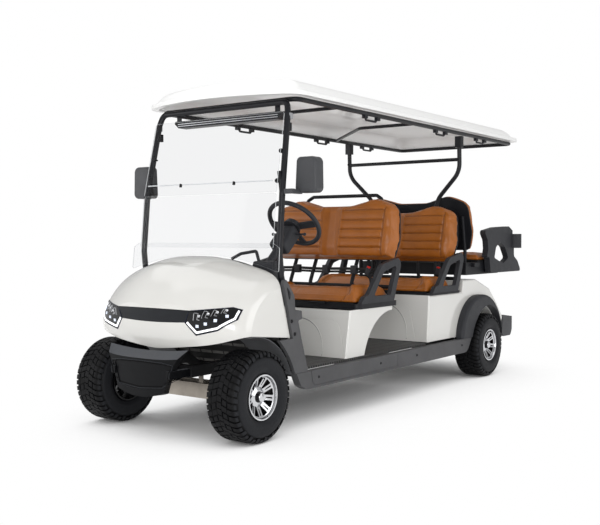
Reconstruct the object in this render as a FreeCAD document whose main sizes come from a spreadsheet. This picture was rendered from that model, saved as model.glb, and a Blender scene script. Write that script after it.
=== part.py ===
import FreeCAD, Part
import math
import os
import re
import Sketcher

# Six-seat golf cart, 4+2 layout, in millimetres.
# The front points to -Y, the driver's side is +X and the ground is Z = 0.
# Every sub-part is drawn with Y measured from the front axle and is then
# placed by the front overhang, so that the cart is centred on its length.

SIZES = [
    # overall layout
    ("overall_length", 3820),
    ("front_overhang", 305),
    ("wheelbase", 2790),
    ("track", 985),
    ("body_half", 500),
    # tyres and rims
    ("tyre_radius", 239),
    ("tyre_width", 208),
    ("tyre_shoulder", 29.5),
    ("rim_radius", 118),
    ("rim_width", 190),
    ("rim_wall", 7),
    ("rim_face_out", 62),
    ("rim_disc", 24),
    ("spoke_hole_outer", 100),
    ("window_half", 21),
    ("spoke_count", 9),
    ("cap_radius", 30),
    ("cap_proud", 28),
    ("hub_bore", 22),
    ("hub_radius", 52),
    # front suspension and steering
    ("kingpin_offset", 112),
    ("kingpin_radius", 13),
    ("kingpin_gap", 0.08),
    ("fork_gap", 70),
    ("fork_plate", 14),
    ("arm_reach", 110),
    ("arm_inset", 14),
    ("link_radius", 9),
    ("link_gap", 8),
    ("spindle_radius", 17),
    ("wheel_clearance", 0.4),
    ("crossbeam_half", 266),
    ("crossbeam_low", 205),
    ("crossbeam_high", 284),
    ("crossbeam_depth", 120),
    ("crossbeam_wall", 6),
    # rear axle
    ("axle_tube", 34),
    ("axle_flange", 60),
    ("motor_radius", 95),
    ("motor_length", 230),
    # chassis
    ("rail_half_gap", 180),
    ("rail_width", 50),
    ("rail_low", 252),
    ("rail_high", 314),
    ("rail_kick", 76),
    ("gear_along", 60),
    ("gear_radius", 92),
    ("hitch_wide", 120),
    ("hitch_deep", 48),
    ("hitch_hole", 5.5),
    ("frame_front", -150),
    ("frame_behind", 382),
    # floor
    ("floor_top", 330),
    ("floor_sheet", 14),
    ("floor_front", 400),
    ("toe_top_along", 268),
    ("toe_top_up", 620),
    # side sills
    ("sill_low", 215),
    ("sill_top", 316),
    ("sill_in", 506),
    ("sill_out", 552),
    ("strut_thick", 22),
    ("sill_front", 397),
    ("sill_ahead", 320),
    ("sill_splice", 1444),
    ("liner_sheet", 3),
    ("liner_low", 312),
    ("groove_deep", 3),
    ("groove_wide", 6),
    # front cowl
    ("cowl_wall", 5),
    ("bumper_bow", 1477),
    ("bumper_wall", 8),
    ("panel_deep", 4),
    # benches
    ("base_front", 960),
    ("base_top", 618),
    ("base_wall", 6),
    ("base_deep", 498),
    ("edge_round", 12),
    ("seat_front", 1040),
    ("bench_pitch", 935),
    ("tub_deck", 655),
    ("tail_deck", 743),
    ("frame_half", 508),
    ("frame_deep", 468),
    ("front_frame_thick", 32),
    ("middle_frame_thick", 16),
    ("seat_half", 474),
    ("front_seat_deep", 425),
    ("middle_seat_deep", 375),
    ("board_thick", 8),
    ("cushion_thick", 104),
    ("seat_gap", 0.5),
    ("armrest_gap", 16),
    ("armrest_thick", 30),
    ("back_half", 500),
    ("back_thick", 105),
    ("back_panel", 12),
    ("back_tall", 416),
    ("back_lean", 10.5),
    ("front_back_behind", 509),
    ("middle_back_behind", 428),
    ("front_back_rise", 282),
    ("middle_back_rise", 221),
    ("stand_tube", 13),
    ("hinge_side", 144),
    ("hinge_wide", 60),
    ("hinge_radius", 5),
    ("hinge_ahead", 6),
    ("hinge_rise", 2),
    # rear bench
    ("platform_ahead", 190),
    ("rear_back_inset", 87),
    ("rear_back_rise", 88),
    ("rear_seat_inset", 216),
    ("hinge_behind", 406),
    ("arm_low", 783),
    ("arm_behind", 742),
    ("platform_low", 775),
    ("platform_top", 868),
    ("cup_radius", 40),
    ("cup_behind", 610),
    ("cup_side", 530),
    ("cup_low", 974),
    ("cup_tall", 115),
    # rear body
    ("arch_radius", 311),
    ("flare_out", 60),
    ("flare_round", 24),
    # roof
    ("roof_low", 1836),
    ("roof_thick", 92),
    ("roof_wall", 8),
    ("roof_half", 566),
    ("roof_front", 330),
    ("roof_bow", 150),
    ("roof_behind", 615),
    ("roof_corner", 80),
    ("roof_lip", 30),
    ("crown_foot", 28),
    ("crown_top", 92),
    ("roof_tube", 14),
    ("roof_rail_half", 508),
    ("roof_rail_front", 396),
    ("roof_rail_inset", 52),
    ("roof_bar_half", 448),
    # windshield
    ("pillar_tube", 17),
    ("pillar_side", 512),
    ("pane_thick", 5),
    ("pane_along", 184),
    ("pane_up", 872),
    # rear posts
    ("post_ahead", 327),
    ("post_half", 481),
    ("post_tube", 16),
    ("post_bend", 160),
    ("post_foot_half", 275),
    # steering wheel
    ("wheel_side", 261),
    ("wheel_along", 709.5),
    ("wheel_up", 1142.5),
    ("wheel_rim_radius", 163),
    ("wheel_grip_radius", 14),
    ("column_lean", 43),
    ("column_length", 620),
    ("mirror_along", 319),
    ("mirror_deep", 70),
    ("column_radius", 22),
    ("column_gap", 6),
]

FRONT = "(front_overhang - overall_length / 2)"

# places along the cart that follow the front bench or the rear axle
MIDDLE = "(seat_front + bench_pitch)"
TUB = "(seat_front + bench_pitch - 3)"
TAIL = "(wheelbase + frame_behind)"
SILL_REAR = "(wheelbase - sill_ahead)"
ROOF_REAR = "(wheelbase + roof_behind)"
POST = "(wheelbase - post_ahead)"
PLATFORM = "(wheelbase - platform_ahead)"
REAR_BACK = "(wheelbase - platform_ahead + rear_back_inset)"
HINGE = "(wheelbase + hinge_behind)"
CUP = "(wheelbase + cup_behind)"
ARM_END = "(wheelbase + arm_behind)"
HANDLES = ("seat_front + 141", "seat_front + bench_pitch + 137", "wheelbase - 20")

doc = FreeCAD.newDocument("GolfCart")
sheet = doc.addObject("Spreadsheet::Sheet", "Sizes")
for row, (alias, amount) in enumerate(SIZES, start=1):
    sheet.set("A%d" % row, alias)
    sheet.set("B%d" % row, str(amount))
    sheet.setAlias("B%d" % row, alias)
doc.recompute()

ALIASES = set(alias for alias, amount in SIZES)
NODES = []


# ---------------------------------------------------------------- helpers

def bound(text):
    """The expression with each size named as a cell of the sheet."""
    def full(match):
        word = match.group(0)
        return "Sizes." + word if word in ALIASES else word
    return re.sub(r"[a-z][a-z_]+", full, str(text))


def number(text):
    """The present value of an expression."""
    return float(sheet.evalExpression(bound(text)))


def place(item, side="0", along="0", up="0", lean=None, axis=(1, 0, 0)):
    """Put a sub-part by its own origin, Y counted from the front axle."""
    if lean is not None:
        item.Placement.Rotation = FreeCAD.Rotation(FreeCAD.Vector(*axis), 1)
        item.setExpression("Placement.Rotation.Angle", bound(lean))
    item.setExpression("Placement.Base.x", bound(side))
    item.setExpression("Placement.Base.y", bound(FRONT + " + " + along))
    item.setExpression("Placement.Base.z", bound(up))
    return item


def node(item, label):
    """Name a finished sub-part, which is written to a file of that name."""
    item.Label = label
    NODES.append(item)
    return item


def new_body(name):
    return doc.addObject("PartDesign::Body", name)


def origin_plane(body, role):
    return [part for part in body.Origin.OriginFeatures if part.Role == role][0]


def new_sketch(body, name, plane, level="0"):
    sketch = body.newObject("Sketcher::SketchObject", name)
    sketch.AttachmentSupport = [(origin_plane(body, plane), "")]
    sketch.MapMode = "FlatFace"
    sketch.setExpression("AttachmentOffset.Base.z", bound(level))
    return sketch


def arc_through(first, middle, last):
    """Arc geometry, and the sketch ends (1 or 2) that meet first and last."""
    circle = Part.Arc(first, middle, last).toShape().Curve
    centre = circle.Center
    start = math.atan2(first.y - centre.y, first.x - centre.x)
    end = math.atan2(last.y - centre.y, last.x - centre.x)
    turn = (middle - first).cross(last - middle).z
    ring = Part.Circle(centre, FreeCAD.Vector(0, 0, 1), circle.Radius)
    if turn > 0:
        return Part.ArcOfCircle(ring, start, end), 1, 2
    return Part.ArcOfCircle(ring, end, start), 2, 1


def draw_loop(sketch, corners):
    """Closed loop of corners (u, v), rounded corners (u, v, radius), and
    points ("via", u, v) that the arc between its neighbours passes through."""
    places = []
    vias = {}
    for corner in corners:
        if corner[0] == "via":
            vias[len(places) - 1] = corner[1:]
        else:
            places.append(corner)
    count = len(places)
    spots = [FreeCAD.Vector(number(c[0]), number(c[1]), 0) for c in places]
    starts = list(spots)
    ends = list(spots)
    rounds = {}
    for i, corner in enumerate(places):
        if len(corner) == 3:
            back = (spots[i - 1] - spots[i]).normalize()
            ahead = (spots[(i + 1) % count] - spots[i]).normalize()
            half = back.getAngle(ahead) / 2
            radius = number(corner[2])
            reach = radius / math.tan(half)
            bisector = (back + ahead).normalize()
            centre = spots[i] + bisector * (radius / math.sin(half))
            ends[i] = spots[i] + back * reach
            starts[i] = spots[i] + ahead * reach
            middle = centre - bisector * radius
            rounds[i] = (ends[i], middle, starts[i], corner[2])
    first = sketch.GeometryCount
    shapes = []
    lines = []
    for i in range(count):
        follow = (i + 1) % count
        if i in vias:
            middle = FreeCAD.Vector(number(vias[i][0]), number(vias[i][1]), 0)
            shape, begin, finish = arc_through(starts[i], middle, ends[follow])
        else:
            shape = Part.LineSegment(starts[i], ends[follow])
            begin, finish = 1, 2
        lines.append((first + len(shapes), begin, finish))
        shapes.append(shape)
    fillets = {}
    for i, (before, middle, after, radius) in rounds.items():
        shape, begin, finish = arc_through(before, middle, after)
        fillets[i] = (first + len(shapes), begin, finish)
        shapes.append(shape)
    sketch.addGeometry(shapes, False)
    marks = []
    for i, corner in enumerate(places):
        if i in rounds:
            marks.append(Part.Point(spots[i]))
    for i in sorted(vias):
        marks.append(Part.Point(FreeCAD.Vector(number(vias[i][0]), number(vias[i][1]), 0)))
    mark = first + len(shapes)
    if marks:
        sketch.addGeometry(marks, True)
    rules = []
    sized = []

    def fix(geometry, position, u, v):
        sized.append((len(rules), u))
        rules.append(Sketcher.Constraint("DistanceX", geometry, position, number(u)))
        sized.append((len(rules), v))
        rules.append(Sketcher.Constraint("DistanceY", geometry, position, number(v)))

    for i, corner in enumerate(places):
        before = lines[i - 1]
        here = lines[i]
        if i in rounds:
            arc = fillets[i]
            rules.append(Sketcher.Constraint("Tangent", before[0], before[2], arc[0], arc[1]))
            rules.append(Sketcher.Constraint("Tangent", arc[0], arc[2], here[0], here[1]))
            sized.append((len(rules), corner[2]))
            rules.append(Sketcher.Constraint("Radius", arc[0], number(corner[2])))
            rules.append(Sketcher.Constraint("PointOnObject", mark, 1, before[0]))
            rules.append(Sketcher.Constraint("PointOnObject", mark, 1, here[0]))
            fix(mark, 1, corner[0], corner[1])
            mark += 1
        else:
            rules.append(Sketcher.Constraint("Coincident", before[0], before[2], here[0], here[1]))
            fix(here[0], here[1], corner[0], corner[1])
    for i in sorted(vias):
        rules.append(Sketcher.Constraint("PointOnObject", mark, 1, lines[i][0]))
        fix(mark, 1, vias[i][0], vias[i][1])
        mark += 1
    base = sketch.ConstraintCount
    sketch.addConstraint(rules)
    for index, text in sized:
        sketch.setExpression("Constraints[%d]" % (base + index), bound(text))


def draw_circle(sketch, u, v, radius):
    """A full circle in the sketch."""
    spot = FreeCAD.Vector(number(u), number(v), 0)
    ring = Part.Circle(spot, FreeCAD.Vector(0, 0, 1), number(radius))
    index = sketch.addGeometry(ring, False)
    base = sketch.ConstraintCount
    sketch.addConstraint([
        Sketcher.Constraint("DistanceX", index, 3, spot.x),
        Sketcher.Constraint("DistanceY", index, 3, spot.y),
        Sketcher.Constraint("Radius", index, number(radius)),
    ])
    for offset, text in enumerate((u, v, radius)):
        sketch.setExpression("Constraints[%d]" % (base + offset), bound(text))


def outline(body, name, plane, corners, level="0"):
    sketch = new_sketch(body, name, plane, level)
    draw_loop(sketch, corners)
    return sketch


def pad(body, sketch, length, reverse=False):
    feature = body.newObject("PartDesign::Pad", "Pad")
    feature.Profile = sketch
    feature.setExpression("Length", bound(length))
    feature.Reversed = reverse
    return feature


def pocket(body, sketch, length, reverse=False):
    feature = body.newObject("PartDesign::Pocket", "Pocket")
    feature.Profile = sketch
    feature.setExpression("Length", bound(length))
    feature.Reversed = reverse
    return feature


def slab(name, plane, corners, low, high):
    """A body padded from one level to another along the plane's normal."""
    body = new_body(name)
    sketch = outline(body, "Outline", plane, corners, low)
    pad(body, sketch, "(%s) - (%s)" % (high, low))
    return body


def loft(body, kind, sketches, ruled=False):
    feature = body.newObject("PartDesign::" + kind, kind)
    feature.Profile = sketches[0]
    feature.Sections = sketches[1:]
    feature.Ruled = ruled
    return feature


def round_edges(body, radius, chosen):
    """Fillet the edges of the last feature that the test picks."""
    doc.recompute()
    base = body.Tip
    names = ["Edge%d" % (i + 1) for i, edge in enumerate(base.Shape.Edges) if chosen(edge)]
    feature = body.newObject("PartDesign::Fillet", "Fillet")
    feature.Base = (base, names)
    feature.setExpression("Radius", bound(radius))
    return feature


def block(name, corner, sides):
    """A box by its low corner and its three sides."""
    item = doc.addObject("Part::Box", name)
    for prop, text in zip(("Length", "Width", "Height"), sides):
        item.setExpression(prop, bound(text))
    for axis, text in zip("xyz", corner):
        item.setExpression("Placement.Base." + axis, bound(text))
    return item


def rod(name, start, radius, length, direction=(0, 0, 1)):
    """A cylinder from a start point along a direction."""
    item = doc.addObject("Part::Cylinder", name)
    item.setExpression("Radius", bound(radius))
    item.setExpression("Height", bound(length))
    turn = FreeCAD.Rotation(FreeCAD.Vector(0, 0, 1), FreeCAD.Vector(*direction))
    item.Placement = FreeCAD.Placement(FreeCAD.Vector(0, 0, 0), turn)
    for axis, text in zip("xyz", start):
        item.setExpression("Placement.Base." + axis, bound(text))
    return item


def fused(name, items):
    result = doc.addObject("Part::MultiFuse", name)
    result.Shapes = items
    result.Refine = True
    return result


def cut(name, base, tool):
    result = doc.addObject("Part::Cut", name)
    result.Base = base
    result.Tool = tool
    return result


def common(name, base, tool):
    result = doc.addObject("Part::Common", name)
    result.Base = base
    result.Tool = tool
    return result


def both_sides(name, left):
    """The left-hand piece and its mirror image across the cart."""
    right = doc.addObject("Part::Mirroring", name + "Right")
    right.Source = left
    right.Normal = (1, 0, 0)
    pair = doc.addObject("Part::Compound", name + "Pair")
    pair.Links = [left, right]
    return pair


def spot(side, along, up):
    return FreeCAD.Vector(number(side), number(along), number(up))


def bent_tube(points, radius, bend):
    """A round bar along straight runs joined by tangent bends."""
    pieces = []
    start = points[0]
    for i in range(1, len(points) - 1):
        corner = points[i]
        back = (points[i - 1] - corner).normalize()
        ahead = (points[i + 1] - corner).normalize()
        half = back.getAngle(ahead) / 2
        reach = bend / math.tan(half)
        bisector = (back + ahead).normalize()
        centre = corner + bisector * (bend / math.sin(half))
        begin = corner + back * reach
        finish = corner + ahead * reach
        pieces.append(Part.makeCylinder(radius, (begin - start).Length, start, begin - start))
        axis = back.cross(ahead)
        circle = Part.Face(Part.Wire(Part.makeCircle(radius, begin, back)))
        turn = 180 - math.degrees(2 * half)
        pieces.append(circle.revolve(centre, axis * -1, turn))
        start = finish
    pieces.append(Part.makeCylinder(radius, (points[-1] - start).Length, start, points[-1] - start))
    return pieces


def shape_node(label, shapes, along="0"):
    """A sub-part whose fused shape is worked out from the sheet's sizes."""
    item = doc.addObject("Part::Feature", label)
    whole = shapes[0].multiFuse(shapes[1:]) if len(shapes) > 1 else shapes[0]
    item.Shape = whole.removeSplitter()
    place(item, along=along)
    return node(item, label)


def mirrored(shapes):
    plane = (FreeCAD.Vector(0, 0, 0), FreeCAD.Vector(1, 0, 0))
    return [shape.mirror(*plane) for shape in shapes]


# ---------------------------------------------------------------- chassis

def chassis_frame():
    """Two rails that kick up over both axles, and their cross members."""
    left = slab("Rail", "YZ_Plane", [
        ("frame_front", "rail_low + rail_kick"),
        ("250", "rail_low + rail_kick", "60"),
        ("360", "rail_low", "60"),
        ("wheelbase - 330", "rail_low", "60"),
        ("wheelbase - 220", "rail_low + rail_kick", "60"),
        (TAIL, "rail_low + rail_kick"),
        (TAIL, "rail_high + rail_kick - 4"),
        ("wheelbase - 240", "rail_high + rail_kick - 4", "60"),
        ("wheelbase - 350", "rail_high", "60"),
        ("380", "rail_high", "60"),
        ("270", "rail_high + rail_kick - 4", "60"),
        ("frame_front", "rail_high + rail_kick - 4"),
    ], "rail_half_gap", "rail_half_gap + rail_width")
    right = doc.addObject("Part::Mirroring", "RailRight")
    right.Source = left
    right.Normal = (1, 0, 0)
    members = []
    for name, along, low in (
            ("Cross1", "frame_front", "rail_low + rail_kick"),
            ("Cross2", "floor_front + 60", "rail_low"),
            ("Cross3", "base_front + 60", "rail_low"),
            ("Cross4", TUB + " + 60", "rail_low"),
            ("Cross5", "wheelbase + 170", "rail_low + rail_kick"),
            ("Cross6", TAIL + " - rail_width", "rail_low + rail_kick")):
        members.append(block(name, ("-rail_half_gap - 5", along, low),
                             ("rail_half_gap * 2 + 10", "rail_width", "rail_high - rail_low - 4")))
    for name, along in (("Out1", "floor_front + 60"), ("Out2", "base_front + 60"),
                        ("Out3", TUB + " + 60")):
        members.append(block(name, ("-sill_in + 1", along, "rail_high - 40"),
                             ("sill_in * 2 - 2", "rail_width", "36")))
    plate = block("HitchPlate",
                  ("-hitch_wide / 2 - 20", TAIL + " - rail_width - 34", "rail_low + rail_kick - 8"),
                  ("hitch_wide + 40", "rail_width + 34", "8.01"))
    frame = fused("Chassis", [left, right, plate] + members)
    holes = []
    for side in ("-hitch_wide / 2", "hitch_wide / 2"):
        for along in (TAIL + " - 16 - hitch_deep", TAIL + " - 16"):
            holes.append(rod("HitchHole", (side, along, "rail_low"), "hitch_hole", "rail_kick * 2"))
    node(place(cut("ChassisDrilled", frame, fused("HitchHoles", holes))), "chassis_frame")


def floor_pan():
    """The floor sheet with its sloping toe board."""
    body = slab("Floor", "YZ_Plane", [
        ("floor_front", "floor_top - floor_sheet"),
        (TUB + " - 50", "floor_top - floor_sheet"),
        (TUB + " - 50", "floor_top"),
        ("floor_front + 8", "floor_top"),
        ("toe_top_along + floor_sheet", "toe_top_up"),
        ("toe_top_along", "toe_top_up"),
    ], "-body_half", "body_half")
    node(place(body), "floor_pan")


def side_sills():
    """The long sill covers under both door openings, with a pressed line."""
    body = slab("Sill", "YZ_Plane", [
        ("sill_front - 18", "sill_low + 28", "30"),
        ("sill_front + 40", "sill_low", "60"),
        (SILL_REAR, "sill_low", "80"),
        (SILL_REAR + " + 75", "sill_top"),
        ("sill_front - 60", "sill_top"),
    ], "sill_in", "sill_out")
    groove = outline(body, "PressedLine", "YZ_Plane", [
        ("sill_front + 76", "sill_top + 5"),
        ("sill_front + 92", "sill_low + 14", "44"),
        ("sill_splice", "sill_low + 14"),
        ("sill_splice", "sill_top + 5"),
        ("sill_splice - 4", "sill_top + 5"),
        ("sill_splice - 4", "sill_low + 18"),
        ("sill_front + 96", "sill_low + 18", "40"),
        ("sill_front + 80", "sill_top + 5"),
    ], "sill_out - groove_deep")
    pocket(body, groove, "groove_deep + 1", reverse=True)
    pair = both_sides("Sill", body)
    node(place(pair), "side_sills")


def front_struts():
    """The moulded braces from the sills up to the pillars, round the front arches."""
    body = new_body("Strut")
    sketch = new_sketch(body, "Outline", "YZ_Plane", "sill_out - strut_thick")
    draw_loop(sketch, [
        ("182", "511"), ("via", "265", "423"), ("324", "sill_top + 2"),
        ("sill_front + 46", "sill_top + 2"), ("376", "525", "60"), ("352", "608", "8"),
        ("388", "612", "6"), ("384", "658", "10"), ("322", "668", "8"),
        ("319", "742", "60"), ("232", "847", "14"), ("220", "812", "8"),
        ("268", "652"), ("303", "511"),
    ])
    draw_loop(sketch, [
        ("244", "802", "4"), ("282", "760", "20"), ("280", "690", "8"), ("262", "740", "20"),
    ])
    pad(body, sketch, "strut_thick")
    pair = both_sides("Strut", body)
    node(place(pair), "front_struts")


def wheel_liners():
    """The thin inner arches behind the front wheels."""
    arch = slab("Liner", "YZ_Plane", [
        ("-40", "540"), ("via", "205", "470"), ("318", "liner_low"),
        ("318 + liner_sheet", "liner_low"),
        ("via", "205 + liner_sheet * 0.6", "470 + liner_sheet * 0.8"), ("-40", "540 + liner_sheet"),
    ], "300", "body_half + 28")
    flange = block("LinerFlange", ("300", "318", "liner_low"), ("body_half - 300", "92", "liner_sheet"))
    body = fused("LinerWhole", [arch, flange])
    node(place(both_sides("Liner", body)), "wheel_liners")


def front_crossmember():
    """The channel that carries the front suspension."""
    body = slab("Crossmember", "YZ_Plane", [
        ("-crossbeam_depth / 2", "crossbeam_low"),
        ("crossbeam_depth / 2", "crossbeam_low"),
        ("crossbeam_depth / 2", "crossbeam_high"),
        ("crossbeam_depth / 2 - crossbeam_wall", "crossbeam_high"),
        ("crossbeam_depth / 2 - crossbeam_wall", "crossbeam_low + crossbeam_wall"),
        ("-crossbeam_depth / 2 + crossbeam_wall", "crossbeam_low + crossbeam_wall"),
        ("-crossbeam_depth / 2 + crossbeam_wall", "crossbeam_high"),
        ("-crossbeam_depth / 2", "crossbeam_high"),
    ], "-crossbeam_half", "crossbeam_half")
    hangers = []
    wall = "crossbeam_depth / 2 - crossbeam_wall"
    for name, along in (("HangerFront", "-(%s)" % wall), ("HangerRear", "%s - 6" % wall)):
        for side in ("-rail_half_gap - 40", "rail_half_gap + 10"):
            hangers.append(block(name, (side, along, "crossbeam_high - 40"),
                                 ("30", "6", "rail_low + rail_kick - crossbeam_high + 40")))
    node(place(fused("FrontCrossmember", [body] + hangers)), "front_crossmember")


def control_arms():
    """Upper and lower wishbones out to the kingpins."""
    reach = number("track / 2 - kingpin_offset")
    shapes = []
    inner = number("crossbeam_half + 3")
    for up in (number("tyre_radius - fork_gap / 2 + 14"), number("tyre_radius + fork_gap / 2 - 14")):
        outer = FreeCAD.Vector(reach, 0, up)
        for along in (-40, 40):
            inside = FreeCAD.Vector(inner, along, up)
            shapes.append(Part.makeCylinder(9, (outer - inside).Length, inside, outer - inside))
    low = FreeCAD.Vector(reach, 0, number("tyre_radius - fork_gap / 2 + 1"))
    shapes.append(Part.makeCylinder(22, number("fork_gap - 2"), low))
    bore = Part.makeCylinder(number("kingpin_radius + kingpin_gap"), number("fork_gap"), low)
    item = doc.addObject("Part::Feature", "ControlArms")
    item.Shape = shapes[0].multiFuse(shapes[1:]).cut(bore).removeSplitter()
    pair = both_sides("ControlArms", item)
    node(place(pair), "front_control_arms")


def knuckle(label, sign):
    """The steering knuckle: fork, spindle, and its arm to the tie rod."""
    pin = number("kingpin_offset")
    gap = number("fork_gap")
    plate = number("fork_plate")
    up = number("tyre_radius")
    shapes = []
    for low in (up - gap / 2 - plate, up + gap / 2):
        shapes.append(Part.makeCylinder(24, plate, FreeCAD.Vector(0, 0, low)))
        shapes.append(Part.makeBox(46, 40, plate, FreeCAD.Vector(0, -20, low)))
    shapes.append(Part.makeBox(16, 70, gap + 2 * plate, FreeCAD.Vector(30, -35, up - gap / 2 - plate)))
    shapes.append(Part.makeCylinder(number("spindle_radius"), pin + 40, FreeCAD.Vector(30, 0, up),
                                    FreeCAD.Vector(1, 0, 0)))
    shapes.append(Part.makeCylinder(number("kingpin_radius"), gap + 2 * plate,
                                    FreeCAD.Vector(0, 0, up - gap / 2 - plate)))
    arm = number("arm_reach")
    inset = number("arm_inset")
    shapes.append(Part.makeBox(26, arm, plate, FreeCAD.Vector(-inset - 13, 0, up - gap / 2 - plate)))
    shapes.append(Part.makeCylinder(15, plate, FreeCAD.Vector(-inset, arm, up - gap / 2 - plate)))
    item = doc.addObject("Part::Feature", label)
    whole = shapes[0].multiFuse(shapes[1:]).removeSplitter()
    if sign < 0:
        whole = whole.mirror(FreeCAD.Vector(0, 0, 0), FreeCAD.Vector(1, 0, 0))
    item.Shape = whole
    place(item, side="%d * (track / 2 - kingpin_offset)" % sign)
    node(item, label)


def tie_rod():
    """The bar that joins both steering arms, hung just below them."""
    low = "tyre_radius - fork_gap / 2 - fork_plate - link_gap - 2 * link_radius"
    half = number("track / 2 - kingpin_offset - arm_inset")
    up = number(low) + number("link_radius")
    shapes = [Part.makeCylinder(number("link_radius"), half * 2,
                                FreeCAD.Vector(-half, number("arm_reach"), up), FreeCAD.Vector(1, 0, 0))]
    for side in (-half, half):
        shapes.append(Part.makeCylinder(15, 2 * number("link_radius"),
                                        FreeCAD.Vector(side, number("arm_reach"), number(low))))
    shape_node("tie_rod", shapes)


def rear_axle():
    """The rigid rear axle: a turned housing with its gear case and drive motor."""
    body = new_body("Axle")
    sketch = outline(body, "Profile", "XZ_Plane", [
        ("-track / 2 - 25", "0"),
        ("-track / 2 - 25", "spindle_radius"),
        ("-track / 2 + 66", "spindle_radius"),
        ("-track / 2 + 66", "axle_flange"),
        ("-track / 2 + 80", "axle_flange"),
        ("-track / 2 + 80", "axle_tube"),
        ("gear_along - 100", "axle_tube", "30"),
        ("gear_along - 50", "gear_radius", "40"),
        ("gear_along + 50", "gear_radius", "40"),
        ("gear_along + 100", "axle_tube", "30"),
        ("track / 2 - 80", "axle_tube"),
        ("track / 2 - 80", "axle_flange"),
        ("track / 2 - 66", "axle_flange"),
        ("track / 2 - 66", "spindle_radius"),
        ("track / 2 + 25", "spindle_radius"),
        ("track / 2 + 25", "0"),
    ])
    turned = body.newObject("PartDesign::Revolution", "Turned")
    turned.Profile = sketch
    turned.ReferenceAxis = (sketch, ["H_Axis"])
    turned.Angle = 360
    body.Tip = turned
    level = "rail_low + rail_kick - tyre_radius - motor_radius - 10"
    motor = rod("Motor", ("gear_along + 30", "gear_radius + motor_radius - 30", level),
                "motor_radius", "motor_length", (-1, 0, 0))
    throat = block("MotorThroat", ("gear_along - 30", "0", "-40"), ("60", "gear_radius + 40", "84"))
    whole = fused("AxleWithMotor", [body, motor, throat])
    node(place(whole, along="wheelbase", up="tyre_radius"), "rear_axle")


def leaf_springs():
    """A leaf spring beside each rail, over the rear axle."""
    body = new_body("Spring")
    sketch = outline(body, "Outline", "YZ_Plane", [
        ("-380", "rail_low + 62"),
        ("via", "0", "tyre_radius + axle_tube + 1"),
        ("380", "rail_low + 62"),
        ("380", "rail_low + 72"),
        ("via", "0", "tyre_radius + axle_tube + 20"),
        ("-380", "rail_low + 72"),
    ], "rail_half_gap + rail_width + 6")
    pad(body, sketch, "50")
    pair = both_sides("Spring", body)
    node(place(pair, along="wheelbase"), "leaf_springs")


def wheel(label, side, along):
    """A rim with split spokes and a cap, and its tyre, on the wheel's own axis."""
    sign = 1 if side > 0 else -1
    body = new_body("Rim")
    sketch = outline(body, "Profile", "XY_Plane", [
        ("-rim_width / 2", "rim_radius"),
        ("rim_width / 2", "rim_radius"),
        ("rim_width / 2", "rim_radius - rim_wall"),
        ("rim_face_out + 20", "rim_radius - rim_wall - 5"),
        ("rim_face_out - 4", "hub_radius"),
        ("rim_face_out + 4", "cap_radius + 4"),
        ("rim_face_out + 4", "cap_radius"),
        ("rim_face_out + cap_proud", "cap_radius - 6", "8"),
        ("rim_face_out + cap_proud + 4", "0"),
        ("rim_face_out + cap_proud - 14", "0"),
        ("rim_face_out + cap_proud - 14", "hub_bore"),
        ("rim_face_out - rim_disc - 8", "hub_bore"),
        ("rim_face_out - rim_disc - 8", "hub_radius"),
        ("rim_face_out + 20 - rim_disc", "rim_radius - rim_wall - 5"),
        ("-rim_width / 2", "rim_radius - rim_wall"),
    ])
    turned = body.newObject("PartDesign::Revolution", "Turned")
    turned.Profile = sketch
    turned.ReferenceAxis = (sketch, ["H_Axis"])
    turned.Angle = 360
    window = new_sketch(body, "Window", "YZ_Plane", "rim_face_out + 30")
    draw_loop(window, [
        ("-4", "hub_radius - 2", "3"), ("4", "hub_radius - 2", "3"),
        ("window_half", "spoke_hole_outer", "6"), ("-window_half", "spoke_hole_outer", "6"),
    ])
    holes = [pocket(body, window, "rim_disc + 60")]
    slit = new_sketch(body, "Slit", "YZ_Plane", "rim_face_out + 30")
    turn = 180 / number("spoke_count")
    across = math.sin(math.radians(turn))
    ahead = math.cos(math.radians(turn))
    corners = []
    for u, v in ((-2.5, 62), (2.5, 62), (4.5, 96), (-4.5, 96)):
        corners.append(("%f" % (u * ahead - v * across), "%f" % (u * across + v * ahead), "2"))
    draw_loop(slit, corners)
    holes.append(pocket(body, slit, "rim_disc + 60"))
    ring = body.newObject("PartDesign::PolarPattern", "Windows")
    ring.Originals = holes
    ring.Axis = (turned.Profile[0], ["H_Axis"])
    ring.Angle = 360
    ring.setExpression("Occurrences", bound("spoke_count"))
    body.Tip = ring
    place(body, side="%d * track / 2" % sign, along=along, up="tyre_radius",
          lean="%d" % (0 if sign > 0 else 180), axis=(0, 0, 1))
    node(body, "rim_" + label)
    widest = "rim_radius + (tyre_radius - rim_radius) * 0.36"
    tyre = new_body("Tyre")
    sketch = outline(tyre, "Profile", "XY_Plane", [
        ("-rim_width / 2 + 2", "rim_radius + wheel_clearance"),
        ("rim_width / 2 - 2", "rim_radius + wheel_clearance"),
        ("tyre_width / 2", widest, "tyre_shoulder"),
        ("tyre_width / 2 - 8", "tyre_radius", "tyre_shoulder"),
        ("-tyre_width / 2 + 8", "tyre_radius", "tyre_shoulder"),
        ("-tyre_width / 2", widest, "tyre_shoulder"),
    ])
    turned = tyre.newObject("PartDesign::Revolution", "Turned")
    turned.Profile = sketch
    turned.ReferenceAxis = (sketch, ["H_Axis"])
    turned.Angle = 360
    place(tyre, side="%d * track / 2" % sign, along=along, up="tyre_radius")
    node(tyre, "tyre_" + label)


# ------------------------------------------------------------- front body

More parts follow.
